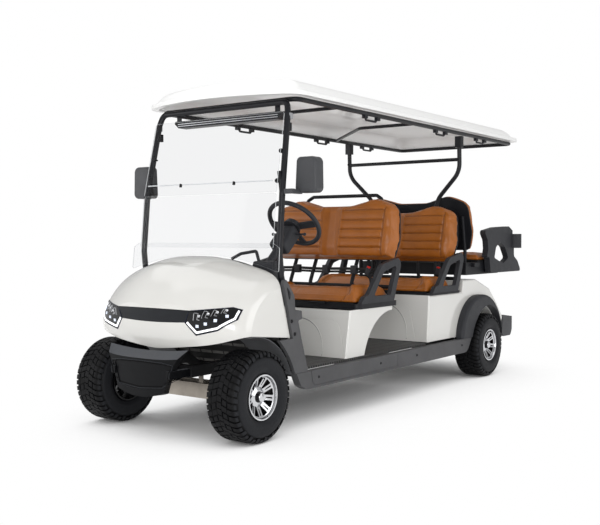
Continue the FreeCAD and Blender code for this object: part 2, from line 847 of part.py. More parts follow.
# bonnet sections: side, lip (along, up), lower bulge, nose, upper bulge, crest, rear hem
COWL = [
    (0, (-178, 472), (-214, 585), (-228, 700), (-68, 887), (167, 955), (167, 472)),
    (300, (-160, 500), (-187, 580), (-196, 670), (-50, 846), (184, 918), (184, 500)),
    (430, (-132, 524), (-148, 566), (-152, 625), (-20, 800), (200, 885), (226, 518)),
    (505, (-92, 545), (-98, 572), (-94, 612), (10, 760), (209, 846), (280, 516)),
    (536, (-30, 553), (-34, 573), (-26, 600), (60, 730), (213, 790), (297, 516)),
]


def cowl_sections(body, inward):
    """Sketches across the bonnet; inward is the wall taken off each one."""
    rows = [(-side,) + tuple(rest) for side, *rest in reversed(COWL[1:])] + COWL
    sketches = []
    for side, lip, low, nose, high, crest, hem in rows:
        shift = "%s * 0.7" % inward
        level = "%d * (1 - %s / 536)" % (side, inward)
        sketches.append(outline(body, "Section", "YZ_Plane", [
            ("%d + %s" % (lip[0], inward), "%d" % lip[1]),
            ("via", "%d + %s" % (low[0], inward), "%d" % low[1]),
            ("%d + %s" % (nose[0], inward), "%d" % nose[1]),
            ("via", "%d + %s" % (high[0], shift), "%d - %s" % (high[1], shift)),
            ("%d + %s * 8" % (crest[0], inward), "%d - %s" % (crest[1], inward)),
            ("%d + %s * 8" % (hem[0], inward), "%d - %s * 8" % (hem[1], inward)),
            ("%d + %s" % (lip[0], inward), "%d - 1 - %s * 8" % (lip[1], inward)),
        ], level))
    return sketches


def front_body():
    """Hollow bonnet, with the grille band and the headlamps let into it."""
    solid = new_body("Bonnet")
    loft(solid, "AdditiveLoft", cowl_sections(solid, "0"))
    hollow = new_body("BonnetInside")
    loft(hollow, "AdditiveLoft", cowl_sections(hollow, "cowl_wall"))
    shell = cut("BonnetShell", solid, hollow)
    band = slab("BandTool", "XZ_Plane", [
        ("-264", "684"), ("via", "0", "688"), ("264", "684"),
        ("232", "620"), ("via", "0", "614"), ("-232", "620"),
    ], "100", "300")
    lamp = slab("LampTool", "XZ_Plane", [
        ("264", "684"), ("463", "703"), ("502", "690"), ("496", "640"), ("417", "584"),
        ("291", "555"), ("232", "620"),
    ], "-60", "300")
    lamps = both_sides("LampTool", lamp)
    tools = fused("FaceTools", [band, lamps])
    node(place(cut("Cowl", shell, tools)), "front_cowl")
    return shell, band, lamps


# bumper outline at two depths: depth, top half, top, top middle, waist half,
# waist, low half, low, low middle
BUMPER = [
    (236, 287, 484, 465, 203, 374, 146, 247, 225),
    (320, 228, 405, 422, 207, 336, 183, 266, 229),
]


def bumper_form(name, inward, bow):
    """The bumper's block between its two outlines, cut by the curve of its face."""
    body = new_body(name)
    sections = []
    for depth, top_half, top, top_mid, waist, up, low_half, low, low_mid in BUMPER:
        behind = "%d - %s * %d" % (depth, inward, 1 if depth < 300 else -1)
        sections.append(outline(body, "Section", "XZ_Plane", [
            ("-%d + %s * 1.3" % (top_half, inward), "%d - %s" % (top, inward)),
            ("via", "0", "%d - %s" % (top_mid, inward)),
            ("%d - %s * 1.3" % (top_half, inward), "%d - %s" % (top, inward)),
            ("via", "%d - %s" % (waist, inward), "%d" % up),
            ("%d - %s" % (low_half, inward), "%d + %s" % (low, inward)),
            ("via", "0", "%d + %s" % (low_mid, inward)),
            ("-%d + %s" % (low_half, inward), "%d + %s" % (low, inward)),
            ("via", "-%d + %s" % (waist, inward), "%d" % up),
        ], behind))
    loft(body, "AdditiveLoft", sections)
    front = rod("BumperBow", ("0", "bumper_bow - front_overhang", "0"), bow, "700")
    return common(name + "Form", body, front)


def bumper():
    """The front bumper: a hollow moulding with a recessed panel and two brackets."""
    outside = bumper_form("Bumper", "0", "bumper_bow")
    inside = bumper_form("BumperInside", "bumper_wall", "bumper_bow - bumper_wall")
    shell = cut("BumperShell", outside, inside)
    panel = slab("PanelTool", "XZ_Plane", [
        ("-202", "407", "14"), ("202", "407", "14"), ("156", "282", "20"),
        ("via", "0", "266"), ("-156", "282", "20"),
    ], "200", "340")
    core = rod("PanelCore", ("0", "bumper_bow - front_overhang", "0"), "bumper_bow - panel_deep", "700")
    recess = cut("PanelRecess", panel, core)
    brackets = []
    for side in ("-rail_half_gap - rail_width + 12", "rail_half_gap + 8"):
        brackets.append(block("BumperBracket", (side, "frame_front - 150", "rail_low + rail_kick + 6"),
                              ("30", "149.5", "40")))
    held = fused("BumperHeld", [cut("BumperPanelled", shell, recess)] + brackets)
    node(place(held), "front_bumper")


def face_pieces(shell, band, lamps):
    """The dark grille band and the headlamp lenses, seated in the bonnet."""
    node(place(common("GrilleBand", shell, band)), "grille_band")
    node(place(common("Headlamps", shell, lamps)), "headlamps")


def dashboard():
    """The dashboard behind the crest of the bonnet, with the driver's binnacle."""
    body = new_body("Dash")
    sections = []
    for side, drop in ((-486, 108), (0, 0), (486, 108)):
        sections.append(outline(body, "Section", "YZ_Plane", [
            ("%d" % (174 + drop * 0.42), "%d" % (948 - drop)),
            ("262", "%d" % (946 - drop)),
            ("318", "%d" % (884 - drop * 0.8)),
            ("292", "toe_top_up + 4"),
            ("240", "toe_top_up + 4"),
        ], "%d" % side))
    loft(body, "AdditiveLoft", sections)
    pod = slab("Binnacle", "YZ_Plane", [
        ("232", "800"), ("306", "800"), ("340", "884", "20"), ("300", "932", "24"), ("232", "928", "20"),
    ], "330", "470")
    grab = doc.addObject("Part::Feature", "GrabBar")
    route = [spot("150", "264", "938"), spot("190", "300", "968"), spot("300", "300", "984"),
             spot("345", "280", "900")]
    pieces = bent_tube(route, 9, 16)
    grab.Shape = pieces[0].multiFuse(pieces[1:]).removeSplitter()
    tunnel = rod("ColumnTunnel", ("wheel_side", "0", "0"), "column_radius + column_gap", "1400")
    place(tunnel, side="wheel_side", along="wheel_along", up="wheel_up",
          lean="90 + column_lean", axis=(1, 0, 0))
    whole = fused("DashWhole", [body, pod, grab])
    place(whole)
    node(cut("Dashboard", whole, tunnel), "dashboard")


def windshield():
    """The clear apron over the bonnet, the fixed pane and the folding pane."""
    apron = new_body("Apron")
    sketch = outline(apron, "Outline", "XZ_Plane", [
        ("-552", "0", "10"), ("-548", "132", "14"), ("-505", "156", "10"),
        ("505", "156", "10"), ("548", "132", "14"), ("552", "0", "10"),
        ("via", "0", "88"),
    ], "0")
    pad(apron, sketch, "pane_thick")
    place(apron, along="pane_along - pane_thick - 1", up="pane_up", lean="-5.6")
    node(apron, "windshield_apron")
    for name, low, high, half, top, along, up, lean in (
            ("lower", "131", "428", "500", "500", "pane_along", "pane_up", "-5.6"),
            ("upper", "4", "452", "500", "486", "pane_along + 42", "pane_up + 428", "-11.6")):
        pane = new_body("Pane")
        sketch = outline(pane, "Outline", "XZ_Plane", [
            ("-" + half, low, "8"), ("-" + top, high, "18"), (top, high, "18"), (half, low, "8"),
        ], "0")
        pad(pane, sketch, "pane_thick")
        place(pane, along=along, up=up, lean=lean)
        node(pane, "windshield_" + name)


def windshield_frame():
    """The tubular hoop: both pillars and the header across the top."""
    radius = number("pillar_tube")
    left = [spot("512", "322", "652"), spot("513", "248", "850"), spot("513", "234", "977"),
            spot("511", "262", "1304"), spot("487", "344", "1740"), spot("470", "361", "1804")]
    right = [FreeCAD.Vector(-p.x, p.y, p.z) for p in reversed(left)]
    shapes = bent_tube(left + right, radius, 40)
    shape_node("windshield_frame", shapes)


def rear_posts():
    """The pair of cranked posts that hold up the back of the roof."""
    radius = number("post_tube")
    foot = POST + " + 40"
    left = [spot("post_half", POST, "roof_low - 31"), spot("post_half", POST + " + 10", "1545"),
            spot("post_foot_half", foot, "1336"), spot("post_foot_half", foot, "744")]
    shapes = bent_tube(left, radius, number("post_bend"))
    sleeve = Part.makeBox(54, 46, 82, spot("post_half - 27", POST + " - 23", "roof_low - 113"))
    shapes.append(sleeve.makeFillet(8, [e for e in sleeve.Edges if abs(e.tangentAt(0).z) > 0.9]))
    shapes = shapes + mirrored(shapes)
    bar = Part.makeCylinder(13, 2 * number("post_half"), spot("-post_half", POST + " + 7", "1636"),
                            FreeCAD.Vector(1, 0, 0))
    shape_node("rear_posts", shapes + [bar])


# -------------------------------------------------------------------- roof

def roof_outline(body, name, inset, level):
    """The roof seen from above, drawn in by an inset from its lip."""
    inset = "(%s)" % inset
    half = "roof_half - " + inset
    bend = "roof_half - roof_corner * 0.484 - %s * 0.707" % inset
    bend_along = "roof_front - roof_corner * 0.169 + %s * 0.707" % inset
    start = "roof_half - roof_corner - %s * 0.395" % inset
    start_along = "roof_front - roof_corner * 0.519 + %s * 0.918" % inset
    corners = [
        ("-(%s)" % half, "roof_front + roof_corner"),
        ("via", "-(%s)" % bend, bend_along),
        ("-(%s)" % start, start_along),
        ("via", "0", "roof_front - roof_bow + " + inset),
        (start, start_along),
        ("via", bend, bend_along),
        (half, "roof_front + roof_corner"),
        (half, ROOF_REAR + " - " + inset, "roof_corner"),
        ("-(%s)" % half, ROOF_REAR + " - " + inset, "roof_corner"),
    ]
    return outline(body, name, "XY_Plane", corners, level)


def roof_skin():
    """The moulded roof skin: a thin lip all round a raised, hollow crown."""
    body = new_body("Roof")
    pad(body, roof_outline(body, "Lip", "0", "roof_low"), "roof_lip")
    level = number("roof_low + roof_lip")
    round_edges(body, "roof_lip * 0.4",
                lambda edge: all(abs(v.Z - level) < 0.1 for v in edge.Vertexes))
    crown = new_body("Crown")
    hollow = new_body("RoofInside")
    flank = [("crown_foot", "roof_lip - 6"), ("crown_foot * 2", "roof_thick * 0.72"),
             ("crown_top", "roof_thick")]
    loft(crown, "AdditiveLoft", [
        roof_outline(crown, "Crown", inset, "roof_low + " + rise) for inset, rise in flank])
    inner = [("crown_foot", "-1")] + flank[1:]
    loft(hollow, "AdditiveLoft", [
        roof_outline(hollow, "Inside", inset + " + roof_wall * 1.5", "roof_low + %s - roof_wall" % rise)
        for inset, rise in inner])
    node(place(cut("RoofSkin", fused("RoofWhole", [body, crown]), hollow)), "roof")


def roof_frame():
    """The two side rails below the roof, with their grab handles."""
    radius = number("roof_tube")
    up = number("roof_low - 1") - radius
    half = number("roof_rail_half")
    front = number("roof_rail_front")
    rear = number(ROOF_REAR + " - roof_rail_inset")
    end = number("roof_bar_half")
    loop = [FreeCAD.Vector(end, front, up), FreeCAD.Vector(half, front, up),
            FreeCAD.Vector(half, rear, up), FreeCAD.Vector(end, rear, up)]
    shapes = bent_tube(loop, radius, 46)
    for along in HANDLES:
        middle = number(along)
        handle = [FreeCAD.Vector(half, middle - 75, up), FreeCAD.Vector(half - 4, middle - 58, up - 40),
                  FreeCAD.Vector(half - 4, middle + 58, up - 40), FreeCAD.Vector(half, middle + 75, up)]
        shapes.extend(bent_tube(handle, 7, 12))
        for foot in (-92, 56):
            shapes.append(Part.makeBox(22, 36, 24, FreeCAD.Vector(half - 12, middle + foot, up - 32)))
    left = doc.addObject("Part::Feature", "RoofRail")
    left.Shape = shapes[0].multiFuse(shapes[1:]).removeSplitter()
    node(place(both_sides("RoofRail", left)), "roof_frame")


def roof_bars():
    """The cross bars between the rails: front, rear, a straight one and a bent one."""
    thick = number("roof_tube")
    up = number("roof_low - 1") - thick
    half = number("roof_rail_half")
    end = number("roof_bar_half")
    straight = FreeCAD.Vector(1, 0, 0)
    bars = []
    for along in ("roof_rail_front", ROOF_REAR + " - roof_rail_inset"):
        bars.append(Part.makeCylinder(thick, 2 * end, FreeCAD.Vector(-end, number(along), up), straight))
    reach = half - thick
    bars.append(Part.makeCylinder(11, 2 * reach, spot(-reach, "seat_front - 229", up), straight))
    bent = number(MIDDLE + " - 238")
    route = [FreeCAD.Vector(reach, bent, up), FreeCAD.Vector(73, bent, up),
             FreeCAD.Vector(9 - reach, bent + 553, up)]
    pieces = bent_tube(route, 11, 70)
    bars.append(pieces[0].multiFuse(pieces[1:]).removeSplitter())
    item = doc.addObject("Part::Feature", "RoofBars")
    item.Shape = Part.makeCompound(bars)
    place(item)
    node(item, "roof_cross_bars")


def overhead_bar():
    """The long housing under the front of the roof, on two arms."""
    body = slab("OverheadBar", "XZ_Plane", [
        ("-423", "1762", "10"), ("-378", "1720", "12"), ("378", "1720", "12"), ("423", "1762", "10"),
    ], "-458", "-392")
    arms = []
    for side in ("-390", "360"):
        arms.append(block("BarArm", (side, "roof_rail_front - 2", "1758"),
                          ("30", "10", "roof_low - roof_tube * 2 - 1759.5")))
    node(place(fused("OverheadBarWhole", [body] + arms)), "overhead_bar")


# -------------------------------------------------------------------- body

def panel_groove(name, face, arch):
    """A pressed line of arch shape on a sloping front face, as a cutting tool."""
    half, top, shoulder, knee = arch
    ring = new_body(name + "Ring")
    sketch = new_sketch(ring, "Arch", "XZ_Plane", "-2200")
    for inset in ("0", "groove_wide"):
        draw_loop(sketch, [
            ("-%d + %s" % (half, inset), "floor_top - 20 + %s" % inset),
            ("-%d + %s" % (knee, inset), "%d - %s" % (top, inset), "%d" % shoulder),
            ("%d - %s" % (knee, inset), "%d - %s" % (top, inset), "%d" % shoulder),
            ("%d - %s" % (half, inset), "floor_top - 20 + %s" % inset),
        ])
    pad(ring, sketch, "1500")
    low, high = face
    skin = slab(name + "Skin", "YZ_Plane", [
        ("%s - 4" % low[0], low[1]), ("%s + groove_deep" % low[0], low[1]),
        ("%s + groove_deep" % high[0], high[1]), ("%s - 4" % high[0], high[1]),
    ], "-body_half", "body_half")
    return common(name, ring, skin)


def rounded_tub(name, corners, below):
    """A padded side outline, its side edges softened from the floor to a level."""
    body = slab(name, "YZ_Plane", corners, "-body_half", "body_half")
    half = number("body_half")
    low = number("floor_top + 20")
    high = number(below)

    def soft(edge):
        ends = edge.Vertexes
        side = all(abs(abs(v.X) - half) < 0.1 for v in ends) and ends[0].X * ends[-1].X > 0
        return side and max(v.Z for v in ends) > low and min(v.Z for v in ends) < high
    round_edges(body, "edge_round", soft)
    return body


def front_seat_base():
    """The hollow moulding under the front bench, open at the top."""
    rear = "base_front + base_deep"
    body = rounded_tub("SeatBase", [
        ("base_front - 52", "floor_top + 1"),
        ("base_front + 165", "floor_top + 1"),
        ("via", "base_front + 300", "floor_top + 190"),
        (rear, "base_top - 30"),
        (rear, "base_top"),
        ("base_front", "base_top"),
    ], "base_top - 40")
    inner = outline(body, "Inside", "YZ_Plane", [
        ("base_front - 52 + base_wall", "floor_top + 1 + base_wall"),
        ("base_front + 165 - base_wall", "floor_top + 1 + base_wall"),
        ("via", "base_front + 300 - base_wall", "floor_top + 190 + base_wall"),
        (rear + " - base_wall * 2", "base_top - 24"),
        (rear + " - base_wall * 2", "base_top + 5"),
        ("base_front + base_wall", "base_top + 5"),
    ], "-body_half + base_wall")
    pocket(body, inner, "body_half * 2 - base_wall * 2", reverse=True)
    groove = panel_groove("BaseGroove", (("base_front - 52", "floor_top + 1"), ("base_front", "base_top")),
                          (492, 564, 90, 425))
    node(place(cut("SeatBasePressed", body, groove)), "front_seat_base")


def battery_pack():
    """The drive battery inside the front seat base."""
    up = "floor_top + base_wall + 2"
    item = block("Battery", ("0", "0", "0"), ("440", "135", "170"))
    node(place(item, side="-220", along="base_front + 6", up=up), "battery_pack")


def rear_body():
    """The rear body tub: bench step, side walls, wheel arches and tail."""
    front = TUB + " - 25"
    high = "tub_deck"
    body = rounded_tub("RearBody", [
        (front, "floor_top + 1"),
        (TUB, high),
        (front + " + 545", high),
        (front + " + 560", "tail_deck", "20"),
        ("wheelbase - 70", "tail_deck", "30"),
        ("wheelbase + 180", "tail_deck - 81", "60"),
        ("wheelbase + 320", "tail_deck - 198", "60"),
        ("wheelbase + 442", "tail_deck - 319", "10"),
        ("wheelbase + 400", "floor_top + 1"),
    ], "tail_deck + 1")
    inner = outline(body, "Inside", "YZ_Plane", [
        (front + " + base_wall", "floor_top - 10"),
        (TUB + " + base_wall", high + " - base_wall"),
        (front + " + 545 + base_wall", high + " - base_wall"),
        (front + " + 560 + base_wall", "tail_deck - base_wall", "16"),
        ("wheelbase - 70", "tail_deck - base_wall", "26"),
        ("wheelbase + 180 - base_wall", "tail_deck - 81 - base_wall", "56"),
        ("wheelbase + 320 - base_wall", "tail_deck - 198 - base_wall", "56"),
        ("wheelbase + 442 - base_wall", "tail_deck - 319 - base_wall", "6"),
        ("wheelbase + 400 - base_wall * 1.2", "floor_top - 10"),
    ], "-body_half + base_wall")
    pocket(body, inner, "body_half * 2 - base_wall * 2", reverse=True)
    arch = new_sketch(body, "Arch", "YZ_Plane", "-body_half - 5")
    draw_circle(arch, "wheelbase", "tyre_radius", "arch_radius")
    pocket(body, arch, "body_half * 2 + 10", reverse=True)
    groove = panel_groove("TubGroove", ((front, "floor_top + 1"), (TUB, high)), (412, 600, 90, 345))
    node(place(cut("RearBodyPressed", body, groove)), "rear_body")


def fender_flares():
    """The dark lips round the rear wheel arches, rounded outside."""
    body = new_body("Flare")
    sketch = new_sketch(body, "Outline", "YZ_Plane", "body_half + 0.5")
    low = "sill_top + 3"
    draw_loop(sketch, [
        ("wheelbase - 408", low),
        ("via", "wheelbase - 290", "tyre_radius + 308"),
        ("wheelbase - 70", "tyre_radius + 384"),
        ("via", "wheelbase + 176", "tyre_radius + 314"),
        ("wheelbase + 316", "tyre_radius + 64"),
        ("wheelbase + 294", "tyre_radius + 64"),
        ("via", "wheelbase + 213", "tyre_radius + 232"),
        ("wheelbase + 20", "tyre_radius + 301"),
        ("via", "wheelbase - 160", "tyre_radius + 216"),
        ("wheelbase - 246", low),
    ])
    pad(body, sketch, "flare_out")
    outer = number("body_half + 0.5 + flare_out")
    ring = number("tyre_radius + arch_radius")

    def rim(edge):
        ends = edge.Vertexes
        out = all(abs(v.X - outer) < 0.1 for v in ends)
        return out and edge.Curve.TypeId == "Part::GeomCircle" and edge.BoundBox.ZMax > ring
    round_edges(body, "flare_round", rim)
    node(place(both_sides("Flare", body)), "fender_flares")


def rear_step():
    """The moulded step across the tail, with rounded corners."""
    body = slab("Step", "YZ_Plane", [
        ("wheelbase + 448", "434", "8"), ("wheelbase + 655", "408", "12"),
        ("wheelbase + 678", "354", "14"), ("wheelbase + 600", "256", "20"),
        ("wheelbase + 462", "258", "14"), ("wheelbase + 434", "290"),
    ], "-body_half", "body_half")
    plan = slab("StepPlan", "XY_Plane", [
        ("-body_half", "wheelbase + 400"), ("body_half", "wheelbase + 400"),
        ("body_half", "wheelbase + 690", "70"), ("-body_half", "wheelbase + 690", "70"),
    ], "200", "500")
    node(place(common("StepRounded", body, plan)), "rear_step")


# ------------------------------------------------------------------- seats

def hinge_barrels(name, sign):
    """Barrels on the hinge axis with their leaves; sign tells seat (1) from frame (-1)."""
    items = []
    first = "hinge_side" if sign > 0 else "hinge_side + hinge_wide + 0.5"
    for side in (first, "-(%s) - hinge_wide" % first):
        items.append(rod(name + "Barrel", (side, "-hinge_ahead", "hinge_rise"), "hinge_radius",
                         "hinge_wide", (1, 0, 0)))
        low = "seat_gap" if sign > 0 else "-8"
        tall = "board_thick - 2" if sign > 0 else "7.5"
        items.append(block(name + "Leaf", (side, "-hinge_ahead", low),
                           ("hinge_wide", "hinge_ahead + 8", tall)))
    return items


def bench_seat(name, along, up):
    """The seat board and its cushion, which tilt forward together."""
    deep = name + "_seat_deep"
    board = slab("Board", "YZ_Plane", [
        ("5", "seat_gap"), (deep, "seat_gap"), (deep, "board_thick"), ("5", "board_thick"),
    ], "-seat_half + 8", "seat_half - 8")
    whole = fused("BoardHinged", [board] + hinge_barrels("Board", 1))
    node(place(whole, along=along, up=up), name + "_seat_board")
    low = "board_thick + seat_gap"
    high = "board_thick + cushion_thick"
    cushion = slab("Cushion", "YZ_Plane", [
        ("0", low, "12"), (deep, low, "12"), (deep, high + " - 10", "56"),
        ("60", high, "40"), ("-6", high + " - 34", "30"),
    ], "-seat_half", "seat_half")
    node(place(cushion, along=along, up=up), name + "_seat_cushion")


def back_outline(body, level, inset="0"):
    """A backrest seen from the front, with its two humps."""
    return outline(body, "Outline", "XZ_Plane", [
        ("-back_half + 30 + %s" % inset, inset, "40"),
        ("back_half - 30 - %s" % inset, inset, "40"),
        ("back_half - %s" % inset, "140", "150"),
        ("back_half - 22 - %s" % inset, "back_tall - 46 - %s" % inset, "88"),
        ("306", "back_tall + 14 - %s" % inset, "110"),
        ("120", "back_tall - 40 - %s" % inset, "90"),
        ("-120", "back_tall - 40 - %s" % inset, "90"),
        ("-306", "back_tall + 14 - %s" % inset, "110"),
        ("-back_half + 22 + %s" % inset, "back_tall - 46 - %s" % inset, "88"),
        ("-back_half + %s" % inset, "140", "150"),
    ], level)


def backrest(label, along, up, facing):
    """A padded backrest leaning away from its sitter."""
    body = new_body("Backrest")
    sketch = back_outline(body, "(back_panel + seat_gap) * %d" % facing)
    pad(body, sketch, "back_thick - back_panel - seat_gap", reverse=facing < 0)
    place(body, along=along, up=up, lean="back_lean * %d" % -facing)
    node(body, label)


def back_panel(along, up, facing):
    """The black moulded panel behind a backrest, with a raised middle field."""
    body = new_body("BackPanel")
    pad(body, back_outline(body, "0", "6"), "back_panel", reverse=facing < 0)
    field = outline(body, "Field", "XZ_Plane", [
        ("-back_half + 90", "60", "30"), ("back_half - 90", "60", "30"),
        ("back_half - 110", "back_tall - 90", "50"), ("-back_half + 110", "back_tall - 90", "50"),
    ], "0")
    pad(body, field, "5", reverse=facing > 0)
    place(body, along=along, up=up, lean="back_lean * %d" % -facing)
    return body


def armrest(name, along, up):
    """The looped hip restraints at both ends of a bench."""
    body = new_body("Armrest")
    sketch = new_sketch(body, "Outline", "YZ_Plane", "seat_half + armrest_gap")
    draw_loop(sketch, [
        ("12", "seat_gap"), ("50", "44", "14"), ("96", "54", "20"), ("258", "238", "80"),
        ("522", "290", "44"), ("406", "seat_gap", "12"),
    ])
    draw_loop(sketch, [
        ("158", "42", "10"), ("276", "190", "60"), ("446", "232", "16"), ("364", "42", "14"),
    ])
    pad(body, sketch, "armrest_thick")
    node(both_sides("Armrest", place(body, along=along, up=up)), name + "_armrests")


def seat_frame(name, along, deck, rail, back_along, back_low):
    """The black ring under a cushion, the tube stand and the back panel."""
    thick = name + "_frame_thick"
    ring = slab("Ring", "XY_Plane", [
        ("-frame_half", "0", "40"), ("frame_half", "0", "40"),
        ("frame_half", "frame_deep", "20"), ("-frame_half", "frame_deep", "20"),
    ], "0", thick)
    opening = outline(ring, "Opening", "XY_Plane", [
        ("-frame_half + 90", "70", "20"), ("frame_half - 90", "70", "20"),
        ("frame_half - 90", "frame_deep - 80", "20"), ("-frame_half + 90", "frame_deep - 80", "20"),
    ], "0")
    pocket(ring, opening, thick, reverse=True)
    place(ring, along=along, up=deck)
    hinges = fused("RingHinges", hinge_barrels("Ring", -1))
    place(hinges, along=along, up="%s + %s" % (deck, thick))
    doc.recompute()
    tube = number("stand_tube")
    back = back_along + " + 6"
    foot = "(%s) + frame_deep - 22" % along
    top = "(%s) + (%s)" % (deck, thick)
    shapes = []
    for side in ("170", "340"):
        run = [spot(side, foot, top + " - 8"), spot(side, foot, top + " + 110"),
               spot(side, back + " + 8", back_low + " + 20"),
               spot(side, back + " + 36", back_low + " + 180")]
        shapes.extend(bent_tube(run, tube, 40))
    shapes = shapes + mirrored(shapes)
    shapes.append(Part.makeCylinder(tube, 2 * number("seat_half"), spot("-seat_half", foot, top + " + 86"),
                                    FreeCAD.Vector(1, 0, 0)))
    if rail:
        left = [spot("340", back + " + 18", back_low + " + 80"),
                spot("306", back + " + 94", back_low + " + 420"),
                spot("262", back + " + 100", back_low + " + 446")]
        right = [FreeCAD.Vector(-p.x, p.y, p.z) for p in reversed(left)]
        shapes.extend(bent_tube(left + right, tube - 1, 22))
    item = doc.addObject("Part::Feature", name)
    item.Shape = shapes[0].multiFuse(shapes[1:]).removeSplitter()
    place(item)
    panel = back_panel(back_along, back_low, 1)
    node(fused("SeatFrame", [ring, hinges, item, panel]), name + "_seat_frame")


def rear_seat():
    """The flip seat that faces backward, its platform and its backrest."""
    platform = slab("Platform", "YZ_Plane", [
        (PLATFORM, "platform_low"), (HINGE + " - 6", "platform_low"),
        (HINGE + " - 6", "platform_top"), (PLATFORM, "platform_top"),
    ], "-seat_half", "seat_half")
    hollow = block("PlatformHollow", ("-seat_half + 30", PLATFORM + " + 95", "platform_low - 5"),
                   ("seat_half * 2 - 60", "%s - %s - 131" % (HINGE, PLATFORM), "platform_top"))
    legs = []
    for side in ("-400", "370"):
        legs.append(block("Leg", (side, PLATFORM + " + 10", "tail_deck + 0.5"), ("30", "60", "60")))
    frame = cut("PlatformCut", platform, hollow)
    for side in ("-seat_half - 26", "seat_half - 0.1"):
        legs.append(block("SideBracket", (side, PLATFORM + " + 100", "platform_low + 60"),
                          ("26.1", "92", "30")))
    posts = []
    for side in ("200", "430"):
        back = [spot(side, REAR_BACK + " - 10", "platform_top - 8"),
                spot(side, REAR_BACK + " - 10", "platform_top + 90"),
                spot(side, REAR_BACK + " - 56", "platform_top + 350")]
        posts.extend(bent_tube(back, number("stand_tube"), 60))
    posts = posts + mirrored(posts)
    stand = doc.addObject("Part::Feature", "RearStand")
    stand.Shape = Part.makeCompound([tube.removeSplitter() for tube in (
        posts[i].multiFuse(posts[i + 1:i + 3]) for i in range(0, len(posts), 3))])
    place(stand)
    steady = fused("RearSeatFrame", [frame] + legs + hinge_blocks("Platform", -1))
    place(steady)
    panel = back_panel(REAR_BACK, "platform_top + rear_back_rise", -1)
    node(fused("RearSeatFrameWhole", [steady, stand, panel]), "rear_seat_frame")
    pan = slab("RearPan", "YZ_Plane", [
        (PLATFORM + " + rear_seat_inset", "seat_gap"), (HINGE + " - 6", "seat_gap"),
        (HINGE + " - 6", "16"), (PLATFORM + " + rear_seat_inset", "16"),
    ], "-seat_half + 4", "seat_half - 4")
    whole = fused("RearPanHinged", [pan] + hinge_blocks("Pan", 1))
    node(place(whole, up="platform_top"), "rear_seat_pan")
    cushion = slab("RearCushion", "YZ_Plane", [
        (PLATFORM + " + rear_seat_inset + 3", "16.5", "12"), (HINGE + " - 12", "16.5", "12"),
        (HINGE + " - 6", "62", "30"), (PLATFORM + " + rear_seat_inset + 5", "84", "30"),
    ], "-seat_half + 6", "seat_half - 6")
    node(place(cushion, up="platform_top"), "rear_seat_cushion")
    backrest("rear_backrest", REAR_BACK, "platform_top + rear_back_rise", -1)


def hinge_blocks(name, sign):
    """Barrels and leaves of the flip seat: on the pan (1) or on the platform (-1)."""
    items = []
    level = "0" if sign > 0 else "platform_top"
    first = "hinge_side" if sign > 0 else "hinge_side + hinge_wide + 0.5"
    low = "%s + seat_gap" % level if sign > 0 else "%s - 5" % level
    for side in (first, "-(%s) - hinge_wide" % first):
        items.append(rod(name + "Barrel", (side, HINGE, level), "hinge_radius", "hinge_wide", (1, 0, 0)))
        items.append(block(name + "Leaf", (side, HINGE + " - 8", low), ("hinge_wide", "8", "4.5")))
    return items


def rear_armrests():
    """The moulded arms beside the flip seat, each with a cup holder."""
    body = new_body("RearArm")
    sketch = new_sketch(body, "Outline", "YZ_Plane", "seat_half + 10")
    draw_loop(sketch, [
        (PLATFORM + " + 206", "1110", "20"), (PLATFORM + " + 270", "1040", "40"),
        (PLATFORM + " + 282", "973", "30"), (PLATFORM + " + 259", "909", "8"),
        (PLATFORM + " + 302", "906", "8"), (PLATFORM + " + 330", "arm_low", "20"),
        (ARM_END, "arm_low", "16"), (ARM_END + " - 70", "868", "30"),
        ("wheelbase + 598", "908", "30"), ("wheelbase + 592", "1104", "30"),
        ("wheelbase + 490", "1150", "60"), (PLATFORM + " + 420", "1140", "300"),
    ])
    draw_loop(sketch, [
        (PLATFORM + " + 398", "900", "12"), (PLATFORM + " + 430", "985", "30"),
        (PLATFORM + " + 512", "1024", "40"), (PLATFORM + " + 600", "985", "40"),
        (PLATFORM + " + 674", "896", "16"), (PLATFORM + " + 565", "852", "80"),
    ])
    pad(body, sketch, "46")
    cup = rod("CupHolder", ("cup_side", CUP, "cup_low"), "cup_radius + 14", "cup_tall")
    link = block("CupLink", ("seat_half + 12", CUP + " - 66", "cup_low + 6"), ("42", "50", "cup_tall - 12"))
    boss = block("ArmBoss", ("seat_half + 0.01", PLATFORM + " + 380", "arm_low + 7"), ("12", "180", "60"))
    bore = rod("CupBore", ("cup_side", CUP, "cup_low + 16"), "cup_radius", "cup_tall - 16")
    above = rod("CupAbove", ("cup_side", CUP, "cup_low + cup_tall"), "cup_radius + 4", "80")
    whole = fused("RearArmWhole", [body, cup, link, boss])
    arm = cut("RearArmCut", cut("RearArmClear", whole, above), bore)
    node(place(both_sides("RearArm", arm)), "rear_armrests")


def steering():
    """The wheel on its leaning column: a thick rim, three spokes and a padded hub."""
    radius = number("wheel_rim_radius")
    grip = number("wheel_grip_radius")
    rim = Part.makeTorus(radius, grip)
    hub = Part.makeCone(58, 50, 34, FreeCAD.Vector(0, 0, -44))
    shapes = [rim, hub]
    for angle, wide in ((0, 44), (90, 34), (180, 44)):
        spoke = Part.makeBox(radius - 30, wide, 12, FreeCAD.Vector(30, -wide / 2, -30))
        spoke.rotate(FreeCAD.Vector(30, 0, -24), FreeCAD.Vector(0, 1, 0), -9)
        spoke.rotate(FreeCAD.Vector(0, 0, 0), FreeCAD.Vector(0, 0, 1), angle)
        shapes.append(spoke)
    wheel_item = doc.addObject("Part::Feature", "SteeringWheel")
    wheel_item.Shape = shapes[0].multiFuse(shapes[1:]).removeSplitter()
    place(wheel_item, side="wheel_side", along="wheel_along", up="wheel_up",
          lean="90 - column_lean", axis=(-1, 0, 0))
    node(wheel_item, "steering_wheel")


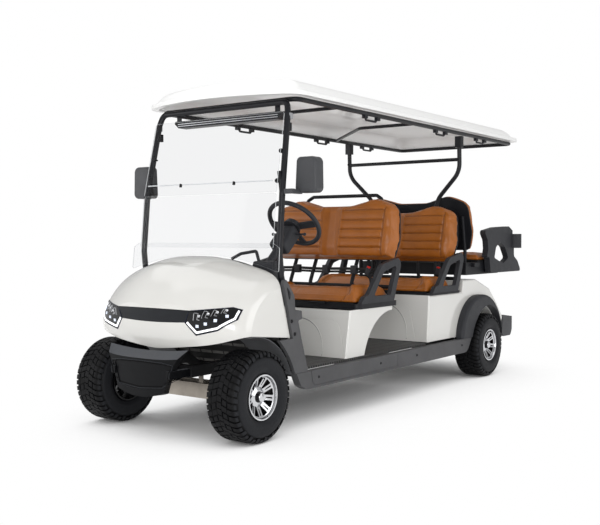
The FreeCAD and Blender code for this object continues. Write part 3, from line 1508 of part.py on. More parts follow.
def steering_column():
    """The column from the wheel down through the dashboard, with cover and stalks."""
    length = number("column_length")
    behind = 50
    column = Part.makeCylinder(number("column_radius"), length, FreeCAD.Vector(0, 0, -behind - length))
    cover = Part.makeBox(112, 92, 170, FreeCAD.Vector(-56, -40, -behind - 170))
    cover = cover.makeFillet(20, cover.Edges)
    stalks = [Part.makeCylinder(6, 230, FreeCAD.Vector(-115, 10, -behind - 34), FreeCAD.Vector(1, 0, 0))]
    for side in (-115, 115):
        stalks.append(Part.makeSphere(10, FreeCAD.Vector(side, 10, -behind - 34)))
    item = doc.addObject("Part::Feature", "SteeringColumn")
    item.Shape = column.multiFuse([cover] + stalks).removeSplitter()
    place(item, side="wheel_side", along="wheel_along", up="wheel_up",
          lean="90 - column_lean", axis=(-1, 0, 0))
    node(item, "steering_column")


def mirrors():
    """Outside mirrors on short cranked arms from the pillars."""
    body = slab("MirrorHousing", "XZ_Plane", [
        ("549", "1300", "26"), ("693", "1300", "30"), ("689", "1494", "34"), ("559", "1494", "26"),
    ], "-mirror_along - mirror_deep", "-mirror_along")
    front = -number("-mirror_along - mirror_deep")
    round_edges(body, "14", lambda edge: all(abs(v.Y - front) > 1 for v in edge.Vertexes))
    arm = block("MirrorArm", ("pillar_side + pillar_tube", "250", "1294"), ("56", "26", "26"))
    reach = block("MirrorReach", ("pillar_side + pillar_tube + 34", "250", "1294"),
                  ("22", "mirror_along - 225", "24"))
    whole = fused("Mirror", [body, arm, reach])
    node(place(both_sides("Mirror", whole)), "mirrors")


def pedals():
    """The hanging accelerator and brake pedals on their cross shaft."""
    low = number("toe_top_up")
    shapes = [Part.makeCylinder(9, 190, FreeCAD.Vector(170, 392, low + 36), FreeCAD.Vector(1, 0, 0))]
    for side, width in ((200, 60), (330, 90)):
        shapes.append(Part.makeBox(16, 12, 190, FreeCAD.Vector(side - 8, 386, low - 150)))
        shapes.append(Part.makeBox(width, 14, 70, FreeCAD.Vector(side - width / 2, 392, low - 200)))
    for side in (166, 354):
        shapes.append(Part.makeBox(6, 100, 24, FreeCAD.Vector(side, 300, low + 24)))
    shape_node("pedals", shapes)


def main():
    chassis_frame()
    floor_pan()
    side_sills()
    front_struts()
    wheel_liners()
    front_crossmember()
    control_arms()
    knuckle("knuckle_left", 1)
    knuckle("knuckle_right", -1)
    tie_rod()
    rear_axle()
    leaf_springs()
    for label, side, along in (("front_left", 1, "0"), ("front_right", -1, "0"),
                               ("rear_left", 1, "wheelbase"), ("rear_right", -1, "wheelbase")):
        wheel(label, side, along)
    face_pieces(*front_body())
    bumper()
    dashboard()
    windshield()
    windshield_frame()
    rear_posts()
    roof_skin()
    roof_frame()
    roof_bars()
    overhead_bar()
    front_seat_base()
    battery_pack()
    rear_body()
    fender_flares()
    rear_step()
    for name, along, deck, rail in (("front", "seat_front", "base_top", True),
                                    ("middle", MIDDLE, "tub_deck", False)):
        up = "%s + %s_frame_thick" % (deck, name)
        back_along = "(%s + %s_back_behind)" % (along, name)
        back_low = "(%s + %s_back_rise)" % (deck, name)
        seat_frame(name, along, deck, rail, back_along, back_low)
        bench_seat(name, along, up)
        armrest(name, along, up)
        backrest(name + "_backrest", back_along, back_low, 1)
    rear_seat()
    rear_armrests()
    steering()
    steering_column()
    mirrors()
    pedals()
    write_parts()


def write_parts():
    """Check every object, then write each sub-part's solids."""
    doc.recompute()
    for item in doc.Objects:
        if "Invalid" in item.State or "Error" in item.State:
            raise RuntimeError("failed object: " + item.Name + " " + item.Label)
    os.makedirs("parts", exist_ok=True)
    for item in NODES:
        shape = item.Shape
        if shape.isNull() or not shape.isValid():
            raise RuntimeError("bad shape: " + item.Label)
        shape.exportStep("parts/" + item.Label + ".step")


main()
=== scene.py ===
"""Golf cart: materials, upholstery, tyres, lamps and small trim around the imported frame."""
import math
from bisect import bisect

import bmesh
import bpy
import numpy as np
from mathutils import Matrix, Vector, noise
from mathutils.bvhtree import BVHTree


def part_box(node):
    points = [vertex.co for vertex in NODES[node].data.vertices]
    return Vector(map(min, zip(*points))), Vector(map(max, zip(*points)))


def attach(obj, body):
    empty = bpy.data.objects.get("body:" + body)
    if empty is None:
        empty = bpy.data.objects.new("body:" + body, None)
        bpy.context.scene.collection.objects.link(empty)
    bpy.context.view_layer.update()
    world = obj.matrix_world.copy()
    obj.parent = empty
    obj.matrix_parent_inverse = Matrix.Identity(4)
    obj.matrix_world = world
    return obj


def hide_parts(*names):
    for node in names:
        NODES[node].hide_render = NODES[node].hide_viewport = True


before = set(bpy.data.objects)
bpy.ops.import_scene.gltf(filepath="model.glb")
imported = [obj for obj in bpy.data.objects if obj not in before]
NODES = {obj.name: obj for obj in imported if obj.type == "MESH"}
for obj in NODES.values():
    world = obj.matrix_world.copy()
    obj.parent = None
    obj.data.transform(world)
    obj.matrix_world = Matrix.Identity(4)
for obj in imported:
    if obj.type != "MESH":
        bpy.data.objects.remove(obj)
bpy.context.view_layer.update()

# In metres: a millimetre, and where the front axle lies along Y, whose -Y end is the front.
MM = 0.001
AXLE = -1.605
REARWARD = Vector((0.0, 1.0, 0.0))
# In mm: the wheelbase, the middle of a wheel from the middle of the cart, and its radius.
WHEELBASE = 2790.0
WHEEL_SIDE = 492.5
TYRE_RADIUS = 239.0


def at(side, along, up):
    """A point of the shared frame from millimetres; along counts back from the front axle."""
    return Vector((side * MM, along * MM + AXLE, up * MM))


# ---------------------------------------------------------------- materials

def linear(red, green, blue):
    """An sRGB colour, 0 to 255, as the linear RGBA that shader sockets take."""
    def one(value):
        value /= 255.0
        return value / 12.92 if value <= 0.04045 else ((value + 0.055) / 1.055) ** 2.4
    return (one(red), one(green), one(blue), 1.0)


class Wiring:
    """Short ways to add nodes to the node tree of a material or a world."""

    def __init__(self, owner, output):
        owner.use_nodes = True
        self.tree = owner.node_tree
        self.output = self.tree.nodes[output]
        self.coords = self.tree.nodes.new("ShaderNodeTexCoord")
        self.place = self.coords.outputs["Object"]

    def node(self, kind, **values):
        """A new node; each value is an attribute or, by its name, an input."""
        made = self.tree.nodes.new(kind)
        for key, value in values.items():
            if hasattr(made, key):
                setattr(made, key, value)
            else:
                made.inputs[key.replace("_", " ")].default_value = value
        return made

    def link(self, a, b):
        self.tree.links.new(a, b)

    def math(self, operation, a, b=None):
        """A Math node; each operand is a socket or a number."""
        made = self.node("ShaderNodeMath", operation=operation)
        for slot, value in zip(made.inputs, (a, b)):
            if isinstance(value, (int, float)):
                slot.default_value = value
            elif value is not None:
                self.link(value, slot)
        return made.outputs[0]

    def axes(self, source=None):
        """The X, Y and Z outputs of a vector, or of the place on the object."""
        made = self.node("ShaderNodeSeparateXYZ")
        self.link(source or self.place, made.inputs[0])
        return made.outputs

    def facing(self):
        """The X, Y and Z outputs of the way the surface faces."""
        return self.axes(self.coords.outputs["Normal"])

    def spread(self, source, low, high, start=0.0, stop=1.0):
        """Carries start to stop over to low to high, and holds the ends."""
        made = self.node("ShaderNodeMapRange", From_Min=start, From_Max=stop, To_Min=low, To_Max=high)
        self.link(source, made.inputs["Value"])
        return made.outputs["Result"]

    def blend(self, factor, a, b):
        """A mix of two shader outputs."""
        mix = self.node("ShaderNodeMixShader")
        for source, slot in zip((factor, a, b), mix.inputs):
            self.link(source, slot)
        return mix.outputs[0]

    def surface(self, shader):
        self.link(shader, self.output.inputs["Surface"])


class Shader(Wiring):
    """A new material with its Principled node and textures in the object's own space."""

    def __init__(self, name, colour, roughness, **sockets):
        self.material = bpy.data.materials.new(name)
        super().__init__(self.material, "Material Output")
        self.main = self.tree.nodes["Principled BSDF"]
        self.colour = colour
        sockets.update(Base_Color=colour, Roughness=roughness)
        for key, value in sockets.items():
            self.main.inputs[key.replace("_", " ")].default_value = value

    def noise(self, scale, detail=3.0, rough=0.5, stretch=None):
        made = self.node("ShaderNodeTexNoise", Scale=scale, Detail=detail, Roughness=rough)
        source = self.place
        if stretch:
            moved = self.node("ShaderNodeMapping")
            moved.inputs["Scale"].default_value = stretch
            self.link(self.place, moved.inputs["Vector"])
            source = moved.outputs["Vector"]
        self.link(source, made.inputs["Vector"])
        return made.outputs["Fac"]

    def cells(self, scale):
        made = self.node("ShaderNodeTexVoronoi", Scale=scale)
        self.link(self.place, made.inputs["Vector"])
        return made.outputs["Distance"]

    def mixed(self, factor, a, b):
        """A colour mix of two sockets or colours."""
        made = self.node("ShaderNodeMix", data_type="RGBA")
        self.link(factor, made.inputs[0])
        for slot, value in ((made.inputs[6], a), (made.inputs[7], b)):
            if isinstance(value, tuple):
                slot.default_value = value
            else:
                self.link(value, slot)
        return made.outputs[2]

    def mottled(self, source, dark, light):
        """Colour that wanders between a darker and a lighter shade of the base."""
        made = self.node("ShaderNodeValToRGB")
        for end, place, share in zip(made.color_ramp.elements, (0.3, 0.7), (dark, light)):
            end.position = place
            end.color = tuple(min(1.0, part * share) for part in self.colour[:3]) + (1.0,)
        self.link(source, made.inputs["Fac"])
        return made.outputs["Color"]

    def tint(self, source):
        self.link(source, self.main.inputs["Base Color"])

    def mottle(self, source, dark, light):
        self.tint(self.mottled(source, dark, light))

    def rough(self, source, low, high):
        self.link(self.spread(source, low, high), self.main.inputs["Roughness"])

    def bump(self, *layers):
        """Bump from (source, height in metres, strength) layers, one over the other."""
        last = None
        for source, height, strength in layers:
            made = self.node("ShaderNodeBump", Distance=height, Strength=strength)
            self.link(source, made.inputs["Height"])
            if last:
                self.link(last, made.inputs["Normal"])
            last = made.outputs["Normal"]
        self.link(last, self.main.inputs["Normal"])


def paint(name, colour, roughness=0.2, coat=0.9):
    """Sprayed or moulded gloss skin under a clear coat."""
    made = Shader(name, colour, roughness, Coat_Weight=coat, Coat_Roughness=0.05)
    made.mottle(made.noise(2.2, 2.0), 0.985, 1.01)
    made.rough(made.noise(30.0, 3.0), roughness - 0.04, roughness + 0.05)
    made.bump((made.noise(420.0, 2.0), 0.0004, 0.05))
    return made.material


def plastic(name, colour, roughness, grain=900.0, depth=0.0004, shine=0.3):
    """Moulded plastic with a fine pebble grain."""
    made = Shader(name, colour, roughness, Specular_IOR_Level=shine)
    made.mottle(made.noise(6.0, 4.0), 0.88, 1.1)
    made.rough(made.noise(18.0, 4.0), roughness - 0.07, roughness + 0.1)
    made.bump((made.cells(grain), depth, 0.35), (made.noise(grain * 0.6, 2.0), depth, 0.2))
    return made.material


def metal(name, colour, roughness, metallic=1.0, brushed=None, grime=0.0, shine=0.5):
    """Bare or coated metal; brushed stretches its grain and grime darkens its low shade."""
    made = Shader(name, colour, roughness, Metallic=metallic, Specular_IOR_Level=shine)
    made.mottle(made.noise(9.0, 5.0), 0.82 - grime, 1.04)
    grain = made.noise(240.0, 3.0, stretch=brushed) if brushed else made.noise(140.0, 4.0)
    made.rough(grain, roughness - 0.06, roughness + 0.1)
    made.bump((grain, 0.0002, 0.15))
    return made.material


def leather(name, colour):
    """Grained leather, with painted shade darkening it down in its seams."""
    made = Shader(name, colour, 0.42, Specular_IOR_Level=0.4)
    recess_shade = made.node("ShaderNodeAttribute", attribute_name="recess_shade").outputs["Fac"]
    worn = made.mottled(made.noise(7.0, 6.0, 0.6), 0.86, 1.12)
    # The colour of the painted shade down in the seams, taken in by how deep in a seam each point lies.
    deep = tuple(c * 0.3 for c in colour[:3]) + (1.0,)
    made.tint(made.mixed(made.math("MULTIPLY", recess_shade, 0.6), worn, deep))
    made.rough(made.noise(50.0, 4.0), 0.27, 0.42)
    made.bump((made.noise(26.0, 3.0), 0.003, 0.16), (made.noise(60.0, 4.0), 0.0012, 0.2),
              (made.cells(620.0), 0.0008, 0.3))
    return made.material


def tyre_rubber():
    """Rubber with painted shade, near black, down in its grooves, a worn tread and paler sidewalls."""
    made = Shader("tyre_rubber", linear(12, 12, 14), 0.6, Specular_IOR_Level=0.14)
    groove_shade = made.node("ShaderNodeAttribute", attribute_name="recess_shade").outputs["Fac"]
    top = made.mottled(made.noise(24.0, 5.0), 0.7, 1.35)
    sideways = made.math("ABSOLUTE", made.facing()["X"])
    wall = made.mixed(made.spread(sideways, 0.0, 1.0, 0.6, 0.85), top, linear(33, 34, 37))
    # Down in the grooves the rubber is painted near black as shade.
    made.tint(made.mixed(groove_shade, wall, linear(5, 5, 6)))
    made.rough(made.noise(60.0, 4.0), 0.42, 0.66)
    made.bump((made.noise(90.0, 4.0), 0.001, 0.18), (made.cells(500.0), 0.0006, 0.3))
    return made.material


# Distances from the cart's middle plane, in metres, over which the rim turns bright.
RIM_WINDOWS_TO_FACE = (0.5, 0.512)
RIM_LIP = (0.579, 0.5815)


def machined_rim(name, outward):
    """Bright turned metal on the outward faces, gloss black in the windows and barrel."""
    made = Shader(name, linear(214, 215, 218), 0.16, Metallic=1.0)
    turned = made.facing()
    face = made.spread(made.math("MULTIPLY", turned["X"], outward), 0.0, 1.0, 0.32, 0.42)
    side = made.axes()
    distance = made.math("MULTIPLY", side["X"], outward)
    proud = made.spread(distance, 0.0, 1.0, *RIM_WINDOWS_TO_FACE)
    lip = made.spread(distance, 0.0, 1.0, *RIM_LIP)
    bright = made.math("MAXIMUM", made.math("MULTIPLY", face, proud), lip)
    lines = made.noise(300.0, 2.0)
    steel = made.mottled(made.noise(30.0, 3.0), 0.86, 1.05)
    made.tint(made.mixed(bright, linear(9, 9, 11), steel))
    made.link(bright, made.main.inputs["Metallic"])
    made.link(made.math("ADD", made.spread(lines, 0.12, 0.22), made.spread(bright, 0.1, 0.0)),
              made.main.inputs["Roughness"])
    made.bump((lines, 0.0002, 0.1))
    return made.material


# The panes lean back, so a face's normal is mostly along Y and a little along Z.
PANE_NORMAL = (("Y", 0.99), ("Z", 0.14))


def clear_pane():
    """Lightly tinted acrylic: clear across its faces and bright along its cut edges."""
    made = Shader("clear_acrylic", linear(235, 238, 240), 0.25)
    made.rough(made.noise(14.0, 3.0), 0.2, 0.3)
    through = made.node("ShaderNodeBsdfTransparent", Color=(0.945, 0.947, 0.95, 1.0))
    gleam = made.node("ShaderNodeBsdfGlossy", Color=(1.0, 1.0, 1.0, 1.0), Roughness=0.04)
    made.link(made.spread(made.noise(9.0, 2.0), 0.02, 0.06), gleam.inputs["Roughness"])
    glance = made.node("ShaderNodeLayerWeight", Blend=0.5).outputs["Facing"]
    inside = made.node("ShaderNodeNewGeometry").outputs["Backfacing"]
    gloss = made.math("MULTIPLY", made.spread(made.math("POWER", glance, 5.0), 0.01, 0.6),
                      made.spread(inside, 1.0, 0.0))
    clear = made.blend(gloss, through.outputs[0], gleam.outputs[0])
    facing = made.facing()
    forward, upward = (made.math("MULTIPLY", facing[axis], share) for axis, share in PANE_NORMAL)
    flat = made.math("ABSOLUTE", made.math("SUBTRACT", forward, upward))
    edge = made.spread(flat, 0.75, 0.0, 0.5, 0.75)
    made.surface(made.blend(edge, clear, made.main.outputs[0]))
    return made.material


MAT_BAR_PITCH = 0.024
MAT_BAR_LENGTH = 0.09


def ribbed_mat():
    """Rubber floor mat, near black, with raised bars across that are pale grey and mottled."""
    made = Shader("ribbed_mat", linear(104, 103, 101), 0.7)
    axes = made.axes()
    bars = made.math("PINGPONG", axes["Y"], MAT_BAR_PITCH / 2)
    across = made.math("PINGPONG", axes["X"], MAT_BAR_LENGTH / 2)
    ridge = made.math("MULTIPLY", made.spread(bars, 0.0, 1.0, 0.0075, 0.009),
                      made.spread(across, 0.0, 1.0, 0.003, 0.005))
    made.tint(made.mixed(ridge, linear(14, 14, 15), made.mottled(made.noise(12.0, 5.0), 0.8, 1.2)))
    made.rough(made.noise(30.0, 4.0), 0.55, 0.8)
    made.bump((ridge, 0.003, 0.7), (made.cells(700.0), 0.0004, 0.3))
    return made.material


def step_plastic():
    """Moulded step: pale where it faces up, with pressed treads there, and darker flanks."""
    made = Shader("step_plastic", linear(64, 65, 68), 0.6)
    facing = made.facing()
    top = made.spread(facing["Z"], 0.0, 1.0, 0.8, 0.95)
    studs = made.cells(46.0)
    body = made.mottled(made.noise(9.0, 4.0), 0.85, 1.12)
    made.tint(made.mixed(top, body, linear(158, 158, 160)))
    made.rough(made.noise(40.0, 3.0), 0.5, 0.7)
    made.bump((made.math("MULTIPLY", top, studs), 0.003, 0.5), (made.cells(800.0), 0.0004, 0.35))
    return made.material


def sheen_painted_plastic(name, front, top):
    """Black moulded plastic with a painted sheen: paler where it faces up, as lit from above."""
    made = Shader(name, front, 0.52, Specular_IOR_Level=0.15)
    facing = made.facing()
    share = made.spread(facing["Z"], 0.0, 1.0, 0.35, 0.8)
    body = made.mottled(made.noise(7.0, 4.0), 0.86, 1.12)
    made.tint(made.mixed(share, body, top))
    made.rough(made.noise(24.0, 4.0), 0.46, 0.62)
    made.bump((made.cells(760.0), 0.0005, 0.35), (made.noise(500.0, 2.0), 0.0004, 0.2))
    return made.material


def lit(name, colour, strength):
    """A lamp element that shines a little by itself."""
    made = Shader(name, linear(*colour), 0.3, Emission_Strength=strength)
    made.main.inputs["Emission Color"].default_value = linear(*colour)
    made.mottle(made.noise(90.0, 2.0), 0.92, 1.05)
    made.bump((made.cells(400.0), 0.0004, 0.2))
    return made.material


def webbing():
    """Belt webbing with its cross weave."""
    made = Shader("belt_webbing", linear(24, 24, 26), 0.75)
    made.mottle(made.noise(60.0, 3.0), 0.8, 1.3)
    weave = made.node("ShaderNodeTexChecker", Scale=620.0)
    made.link(made.place, weave.inputs["Vector"])
    made.rough(made.noise(80.0, 3.0), 0.65, 0.85)
    made.bump((weave.outputs["Fac"], 0.0004, 0.5))
    return made.material


def lamp_glass():
    """Clear lens over a black lamp body."""
    made = Shader("lamp_lens", linear(5, 6, 9), 0.1, Coat_Weight=0.35, Coat_Roughness=0.02,
                  Specular_IOR_Level=0.2)
    made.mottle(made.noise(20.0, 3.0), 0.7, 1.5)
    made.rough(made.noise(70.0, 3.0), 0.05, 0.14)
    made.bump((made.noise(60.0, 2.0), 0.0005, 0.08))
    return made.material


BODY = paint("body_paint", linear(221, 220, 216))
ROOF = paint("roof_skin", linear(250, 250, 249), 0.35, 0.3)
TRIM = plastic("trim_plastic", linear(43, 44, 48), 0.5)
# The bumper: black, with a painted sheen making it paler where it faces up.
BUMPER_TRIM = sheen_painted_plastic("bumper_plastic", linear(9, 10, 13), linear(80, 82, 86))
GRILLE = plastic("grille_plastic", linear(30, 32, 36), 0.45, shine=0.2)
SILL = plastic("sill_plastic", linear(77, 77, 79), 0.5)
MIRROR_PLASTIC = plastic("mirror_plastic", linear(66, 67, 70), 0.42)
TUBE = metal("black_tube", linear(20, 21, 26), 0.38, 0.0, shine=0.3)
CHASSIS = metal("black_steel", linear(26, 26, 28), 0.5, 0.3)
GALVANISED = metal("galvanised_steel", linear(176, 168, 158), 0.42, 1.0, (1.0, 12.0, 12.0), 0.1)
LEATHER = leather("tan_leather", linear(161, 92, 26))
BOARD = plastic("seat_board_plastic", linear(20, 20, 22), 0.6)
BACK_SHELL = plastic("back_panel_plastic", linear(17, 18, 23), 0.5)
RUBBER = tyre_rubber()
SILVER = metal("silver_strip", linear(196, 197, 200), 0.3)
RIM_LEFT = machined_rim("machined_rim_left", 1.0)
RIM_RIGHT = machined_rim("machined_rim_right", -1.0)
CHROME = metal("bright_chrome", linear(226, 227, 230), 0.1)
FASTENER = metal("blackened_fastener", linear(30, 30, 33), 0.36, 0.6)
MAT = ribbed_mat()
STEP = step_plastic()
LINER = plastic("liner_plastic", linear(96, 97, 100), 0.5, 500.0)
BATTERY = plastic("battery_box", linear(34, 36, 40), 0.5)
PANE = clear_pane()
LENS = lamp_glass()
LED = lit("lamp_strip", (250, 252, 255), 0.9)
LAMP_EDGE = plastic("lamp_edge", linear(20, 26, 44), 0.2, 900.0, 0.0001)
FOLD_STRIP = plastic("fold_strip", linear(214, 217, 220), 0.3, 900.0, 0.0002)
# Grey for the painted shadow in the arch grooves of the bench boxes.
ARCH_SHADE = paint("arch_shade", linear(120, 120, 120), 0.5, 0.2)
# Near black, for the painted shadow of the groove round the bumper's panel.
GROOVE_SHADOW = plastic("shadow_groove", linear(8, 8, 9), 0.7, 900.0, 0.0002, 0.1)
BUMPER_EDGE = plastic("bumper_edge", linear(40, 42, 46), 0.45, 900.0, 0.0002, 0.2)
LED_DOT = lit("lamp_dot", (214, 222, 236), 0.35)
BELT = webbing()
RED = plastic("release_button", linear(200, 30, 22), 0.4, 1200.0, 0.0002)
PALE = plastic("pale_hinge_block", linear(150, 151, 154), 0.45, 900.0, 0.0003)
MIRROR_GLASS = metal("mirror_glass", linear(235, 238, 242), 0.03)

# The CAD nodes that each material dresses.
LOOKS = (
    (BODY, "front_cowl front_seat_base rear_body"),
    (ROOF, "roof"),
    (TRIM, "dashboard fender_flares front_armrests middle_armrests rear_armrests steering_column "
           "steering_wheel"),
    (BUMPER_TRIM, "front_bumper"),
    (GRILLE, "grille_band"),
    (SILL, "front_struts side_sills"),
    (MIRROR_PLASTIC, "mirrors"),
    (TUBE, "overhead_bar rear_posts roof_cross_bars roof_frame windshield_frame"),
    (CHASSIS, "chassis_frame front_control_arms knuckle_left knuckle_right leaf_springs pedals "
              "rear_axle tie_rod"),
    (GALVANISED, "front_crossmember"),
    (LEATHER, "front_backrest middle_backrest rear_backrest front_seat_cushion "
              "middle_seat_cushion rear_seat_cushion"),
    (BOARD, "front_seat_board middle_seat_board rear_seat_pan"),
    (BACK_SHELL, "front_seat_frame middle_seat_frame rear_seat_frame"),
    (RUBBER, "tyre_front_left tyre_front_right tyre_rear_left tyre_rear_right"),
    (RIM_LEFT, "rim_front_left rim_rear_left"),
    (RIM_RIGHT, "rim_front_right rim_rear_right"),
    (MAT, "floor_pan"),
    (STEP, "rear_step"),
    (LINER, "wheel_liners"),
    (BATTERY, "battery_pack"),
    (PANE, "windshield_apron windshield_lower windshield_upper"),
    (LENS, "headlamps"),
)
for look, node_names in LOOKS:
    for node_name in node_names.split():
        slots = NODES[node_name].data.materials
        slots.clear()
        slots.append(look)


# ---------------------------------------------------------------- mesh making

def put(name, mesh, material, body, smooth=0.6):
    """Makes a mesh into a piece that rides on a body."""
    mesh.materials.append(material)
    mesh.shade_smooth()
    mesh.set_sharp_from_angle(angle=smooth)
    piece = bpy.data.objects.new(name, mesh)
    bpy.context.scene.collection.objects.link(piece)
    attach(piece, body)
    return piece


def surface_of(node):
    """A search tree over a CAD node, to lay pieces on it."""
    mesh = NODES[node].data
    corners = [vertex.co for vertex in mesh.vertices]
    return BVHTree.FromPolygons(corners, [tuple(face.vertices) for face in mesh.polygons])


# The width of a strip's top as a share of its whole width.
STRIP_TOP = 0.7


def ring(centre, side, other, radius, sides):
    """Points of a circle about the centre, in the plane of two unit vectors."""
    turns = (2 * math.pi * i / sides for i in range(sides))
    return [centre + (side * math.cos(turn) + other * math.sin(turn)) * radius * MM
            for turn in turns]


class Bundle:
    """Small parts of one material on one body, gathered in one mesh. Sizes are in mm."""

    def __init__(self, name, material, slot, body="cart"):
        self.name = name
        self.material = material
        self.slot = slot
        self.body = body
        self.bm = bmesh.new()

    def skin(self, rings, looped=False):
        """Faces between rings of points, closed at both ends unless they run round in a loop."""
        rows = [[self.bm.verts.new(point) for point in ring] for ring in rings]
        pairs = list(zip(rows, rows[1:]))
        if looped:
            pairs.append((rows[-1], rows[0]))
        count = len(rows[0])
        for low, high in pairs:
            for i in range(count):
                j = (i + 1) % count
                self.bm.faces.new((low[i], low[j], high[j], high[i]))
        if not looped:
            self.bm.faces.new(reversed(rows[0]))
            self.bm.faces.new(rows[-1])

    def turned(self, base, axis, profile, sides=24):
        """A turned part from (radius, height) pairs along the axis."""
        axis = Vector(axis).normalized()
        side = axis.orthogonal().normalized()
        other = axis.cross(side)
        self.skin([ring(base + axis * height * MM, side, other, radius, sides)
                   for radius, height in profile])

    def dome(self, base, axis, radius, height):
        """A round button head with its socket."""
        self.turned(base, axis, [
            (radius, -2.0), (radius, 1.0), (radius * 0.9, height * 0.6), (radius * 0.6, height),
            (radius * 0.34, height * 1.05), (radius * 0.3, height * 0.4),
        ])

    def tube(self, points, radius, sides, looped=False):
        """A round bar through the points."""
        rings = []
        up = Vector((0.0, 0.0, 1.0))
        last = len(points) - 1
        for i, point in enumerate(points):
            before = points[i - 1] if i or looped else point
            after = points[(i + 1) % len(points)] if i < last or looped else point
            along = (after - before).normalized()
            side = along.cross(up)
            if side.length < 0.2:
                side = along.cross(Vector((1.0, 0.0, 0.0)))
            side.normalize()
            rings.append(ring(point, side, side.cross(along), radius, sides))
        self.skin(rings, looped=looped)

    def strip(self, points, faces, wide, thick):
        """A flat band along the points; faces gives the way it lies at each one."""
        rings = []
        last = len(points) - 1
        for i, point in enumerate(points):
            along = (points[min(i + 1, last)] - points[max(i - 1, 0)]).normalized()
            out = faces[i].normalized()
            side = along.cross(out).normalized() * wide * MM / 2
            lift = out * thick * MM / 2
            rings.append([point + side * STRIP_TOP + lift, point + side, point + side - lift,
                          point - side - lift, point - side, point - side * STRIP_TOP + lift])
        self.skin(rings)

    def block(self, centre, size, bevel, turn=None):
        """A box with rounded edges; size is its full width, depth and height."""
        place = Matrix.Translation(centre) @ (turn.to_4x4() if turn else Matrix.Identity(4))
        scale = Matrix.Diagonal((size[0] * MM, size[1] * MM, size[2] * MM, 1.0))
        made = bmesh.ops.create_cube(self.bm, size=1.0, matrix=place @ scale)
        edges = {edge for corner in made["verts"] for edge in corner.link_edges}
        bmesh.ops.bevel(self.bm, geom=list(edges), offset=bevel * MM, segments=2, affect="EDGES",
                        profile=0.6, clamp_overlap=True)

    def finish(self):
        bmesh.ops.recalc_face_normals(self.bm, faces=self.bm.faces)
        mesh = bpy.data.meshes.new(self.name)
        self.bm.to_mesh(mesh)
        self.bm.free()
        put(self.name, mesh, self.material, self.body)


def curve_through(points):
    """Points along a smooth line through the given ones."""
    steps = 6
    line = []
    ends = [points[0]] + list(points) + [points[-1]]
    for p0, p1, p2, p3 in zip(ends, ends[1:], ends[2:], ends[3:]):
        for i in range(steps):
            t = i / steps
            line.append(0.5 * ((2 * p1) + (p2 - p0) * t + (2 * p0 - 5 * p1 + 4 * p2 - p3) * t * t
                               + (3 * p1 - p0 - 3 * p2 + p3) * t ** 3))
    line.append(points[-1])
    return line


# ---------------------------------------------------------------- upholstery

# In metres: the mesh size, how far a cover starts inside its solid, how far the cloth may swell,
# how near the resting side it is held, how far a cover may stand proud of its solid but for its
# resting side, and how much further on the side away from that.
VOXEL = 0.011
SHRINK = 0.011
SWELL_CAP = 0.012
HELD = 0.012
PROUD = 0.003
PROUD_FACE = 0.005
# The simulation: the cloth's pressure, steps of quality and last frame.
PRESSURE = 4.0
QUALITY = 4
LAST_FRAME = 20
LEAN = math.radians(10.5)


def smooth_step(low, high, value):
    """0 below low and 1 above high, easing in and out between them."""
    t = min(1.0, max(0.0, (value - low) / (high - low)))
    return t * t * (3 - 2 * t)


def bell(distance, half):
    """1 at no distance, falling off smoothly; half sets its width."""
    return math.exp(-(distance / half) ** 2)


def solid_mesh(node, name):
    """The CAD solid as an even voxel mesh in a new object."""
    raw = NODES[node].data.copy()
    welded = bmesh.new()
    welded.from_mesh(raw)
    bmesh.ops.remove_doubles(welded, verts=welded.verts, dist=1e-6)
    welded.to_mesh(raw)
    welded.free()
    raw.materials.clear()
    rough = bpy.data.objects.new(name, raw)
    bpy.context.scene.collection.objects.link(rough)
    remesh = rough.modifiers.new("voxels", "REMESH")
    remesh.mode = "VOXEL"
    remesh.voxel_size = VOXEL
    settle(rough)
    return rough


def settle(piece):
    """Applies the piece's modifiers."""
    shown = piece.evaluated_get(bpy.context.evaluated_depsgraph_get())
    made = bpy.data.meshes.new_from_object(shown)
    piece.modifiers.clear()
    piece.data = made


def plump(piece, held):
    """Swells the piece as pressurised cloth, except where it is held, and caps each move."""
    start = [vertex.co.copy() for vertex in piece.data.vertices]
    group = piece.vertex_groups.new(name="held")
    group.add([i for i in range(len(start)) if held[i]], 1.0, "REPLACE")
    cloth = piece.modifiers.new("cloth", "CLOTH")
    cloth.settings.vertex_group_mass = "held"
    cloth.settings.use_pressure = True
    cloth.settings.uniform_pressure_force = PRESSURE
    cloth.settings.effector_weights.gravity = 0.0
    cloth.settings.quality = QUALITY
    cloth.collision_settings.use_collision = False
    cloth.point_cache.frame_start = 1
    cloth.point_cache.frame_end = LAST_FRAME
    for step in range(1, LAST_FRAME + 1):
        bpy.context.scene.frame_set(step)
    settle(piece)
    bpy.context.scene.frame_set(1)
    piece.vertex_groups.clear()
    for vertex, was in zip(piece.data.vertices, start):
        move = vertex.co - was
        if move.length > SWELL_CAP:
            vertex.co = was + move.normalized() * SWELL_CAP


def neighbours(mesh):
    """Each edge's two ends both ways round, and how many edges each vertex has."""
    pairs = np.empty(len(mesh.edges) * 2, dtype=np.int64)
    mesh.edges.foreach_get("vertices", pairs)
    ends = np.concatenate((pairs[0::2], pairs[1::2]))
    others = np.concatenate((pairs[1::2], pairs[0::2]))
    return ends, others, np.bincount(ends, minlength=len(mesh.vertices))[:, None]


def read(mesh, what):
    """A vector of each vertex, one row each."""
    values = np.empty(len(mesh.vertices) * 3)
    mesh.vertices.foreach_get(what, values)
    return values.reshape(-1, 3)


def eased(mesh, values, rounds, hold=0.6):
    """Per-vertex vectors evened out with their neighbours."""
    ends, others, share = neighbours(mesh)
    values = values.copy()
    for _ in range(rounds):
        pull = np.stack([np.bincount(ends, values[others, axis], len(values)) for axis in range(3)], 1)
        values += (pull / share - values) * hold
    return values


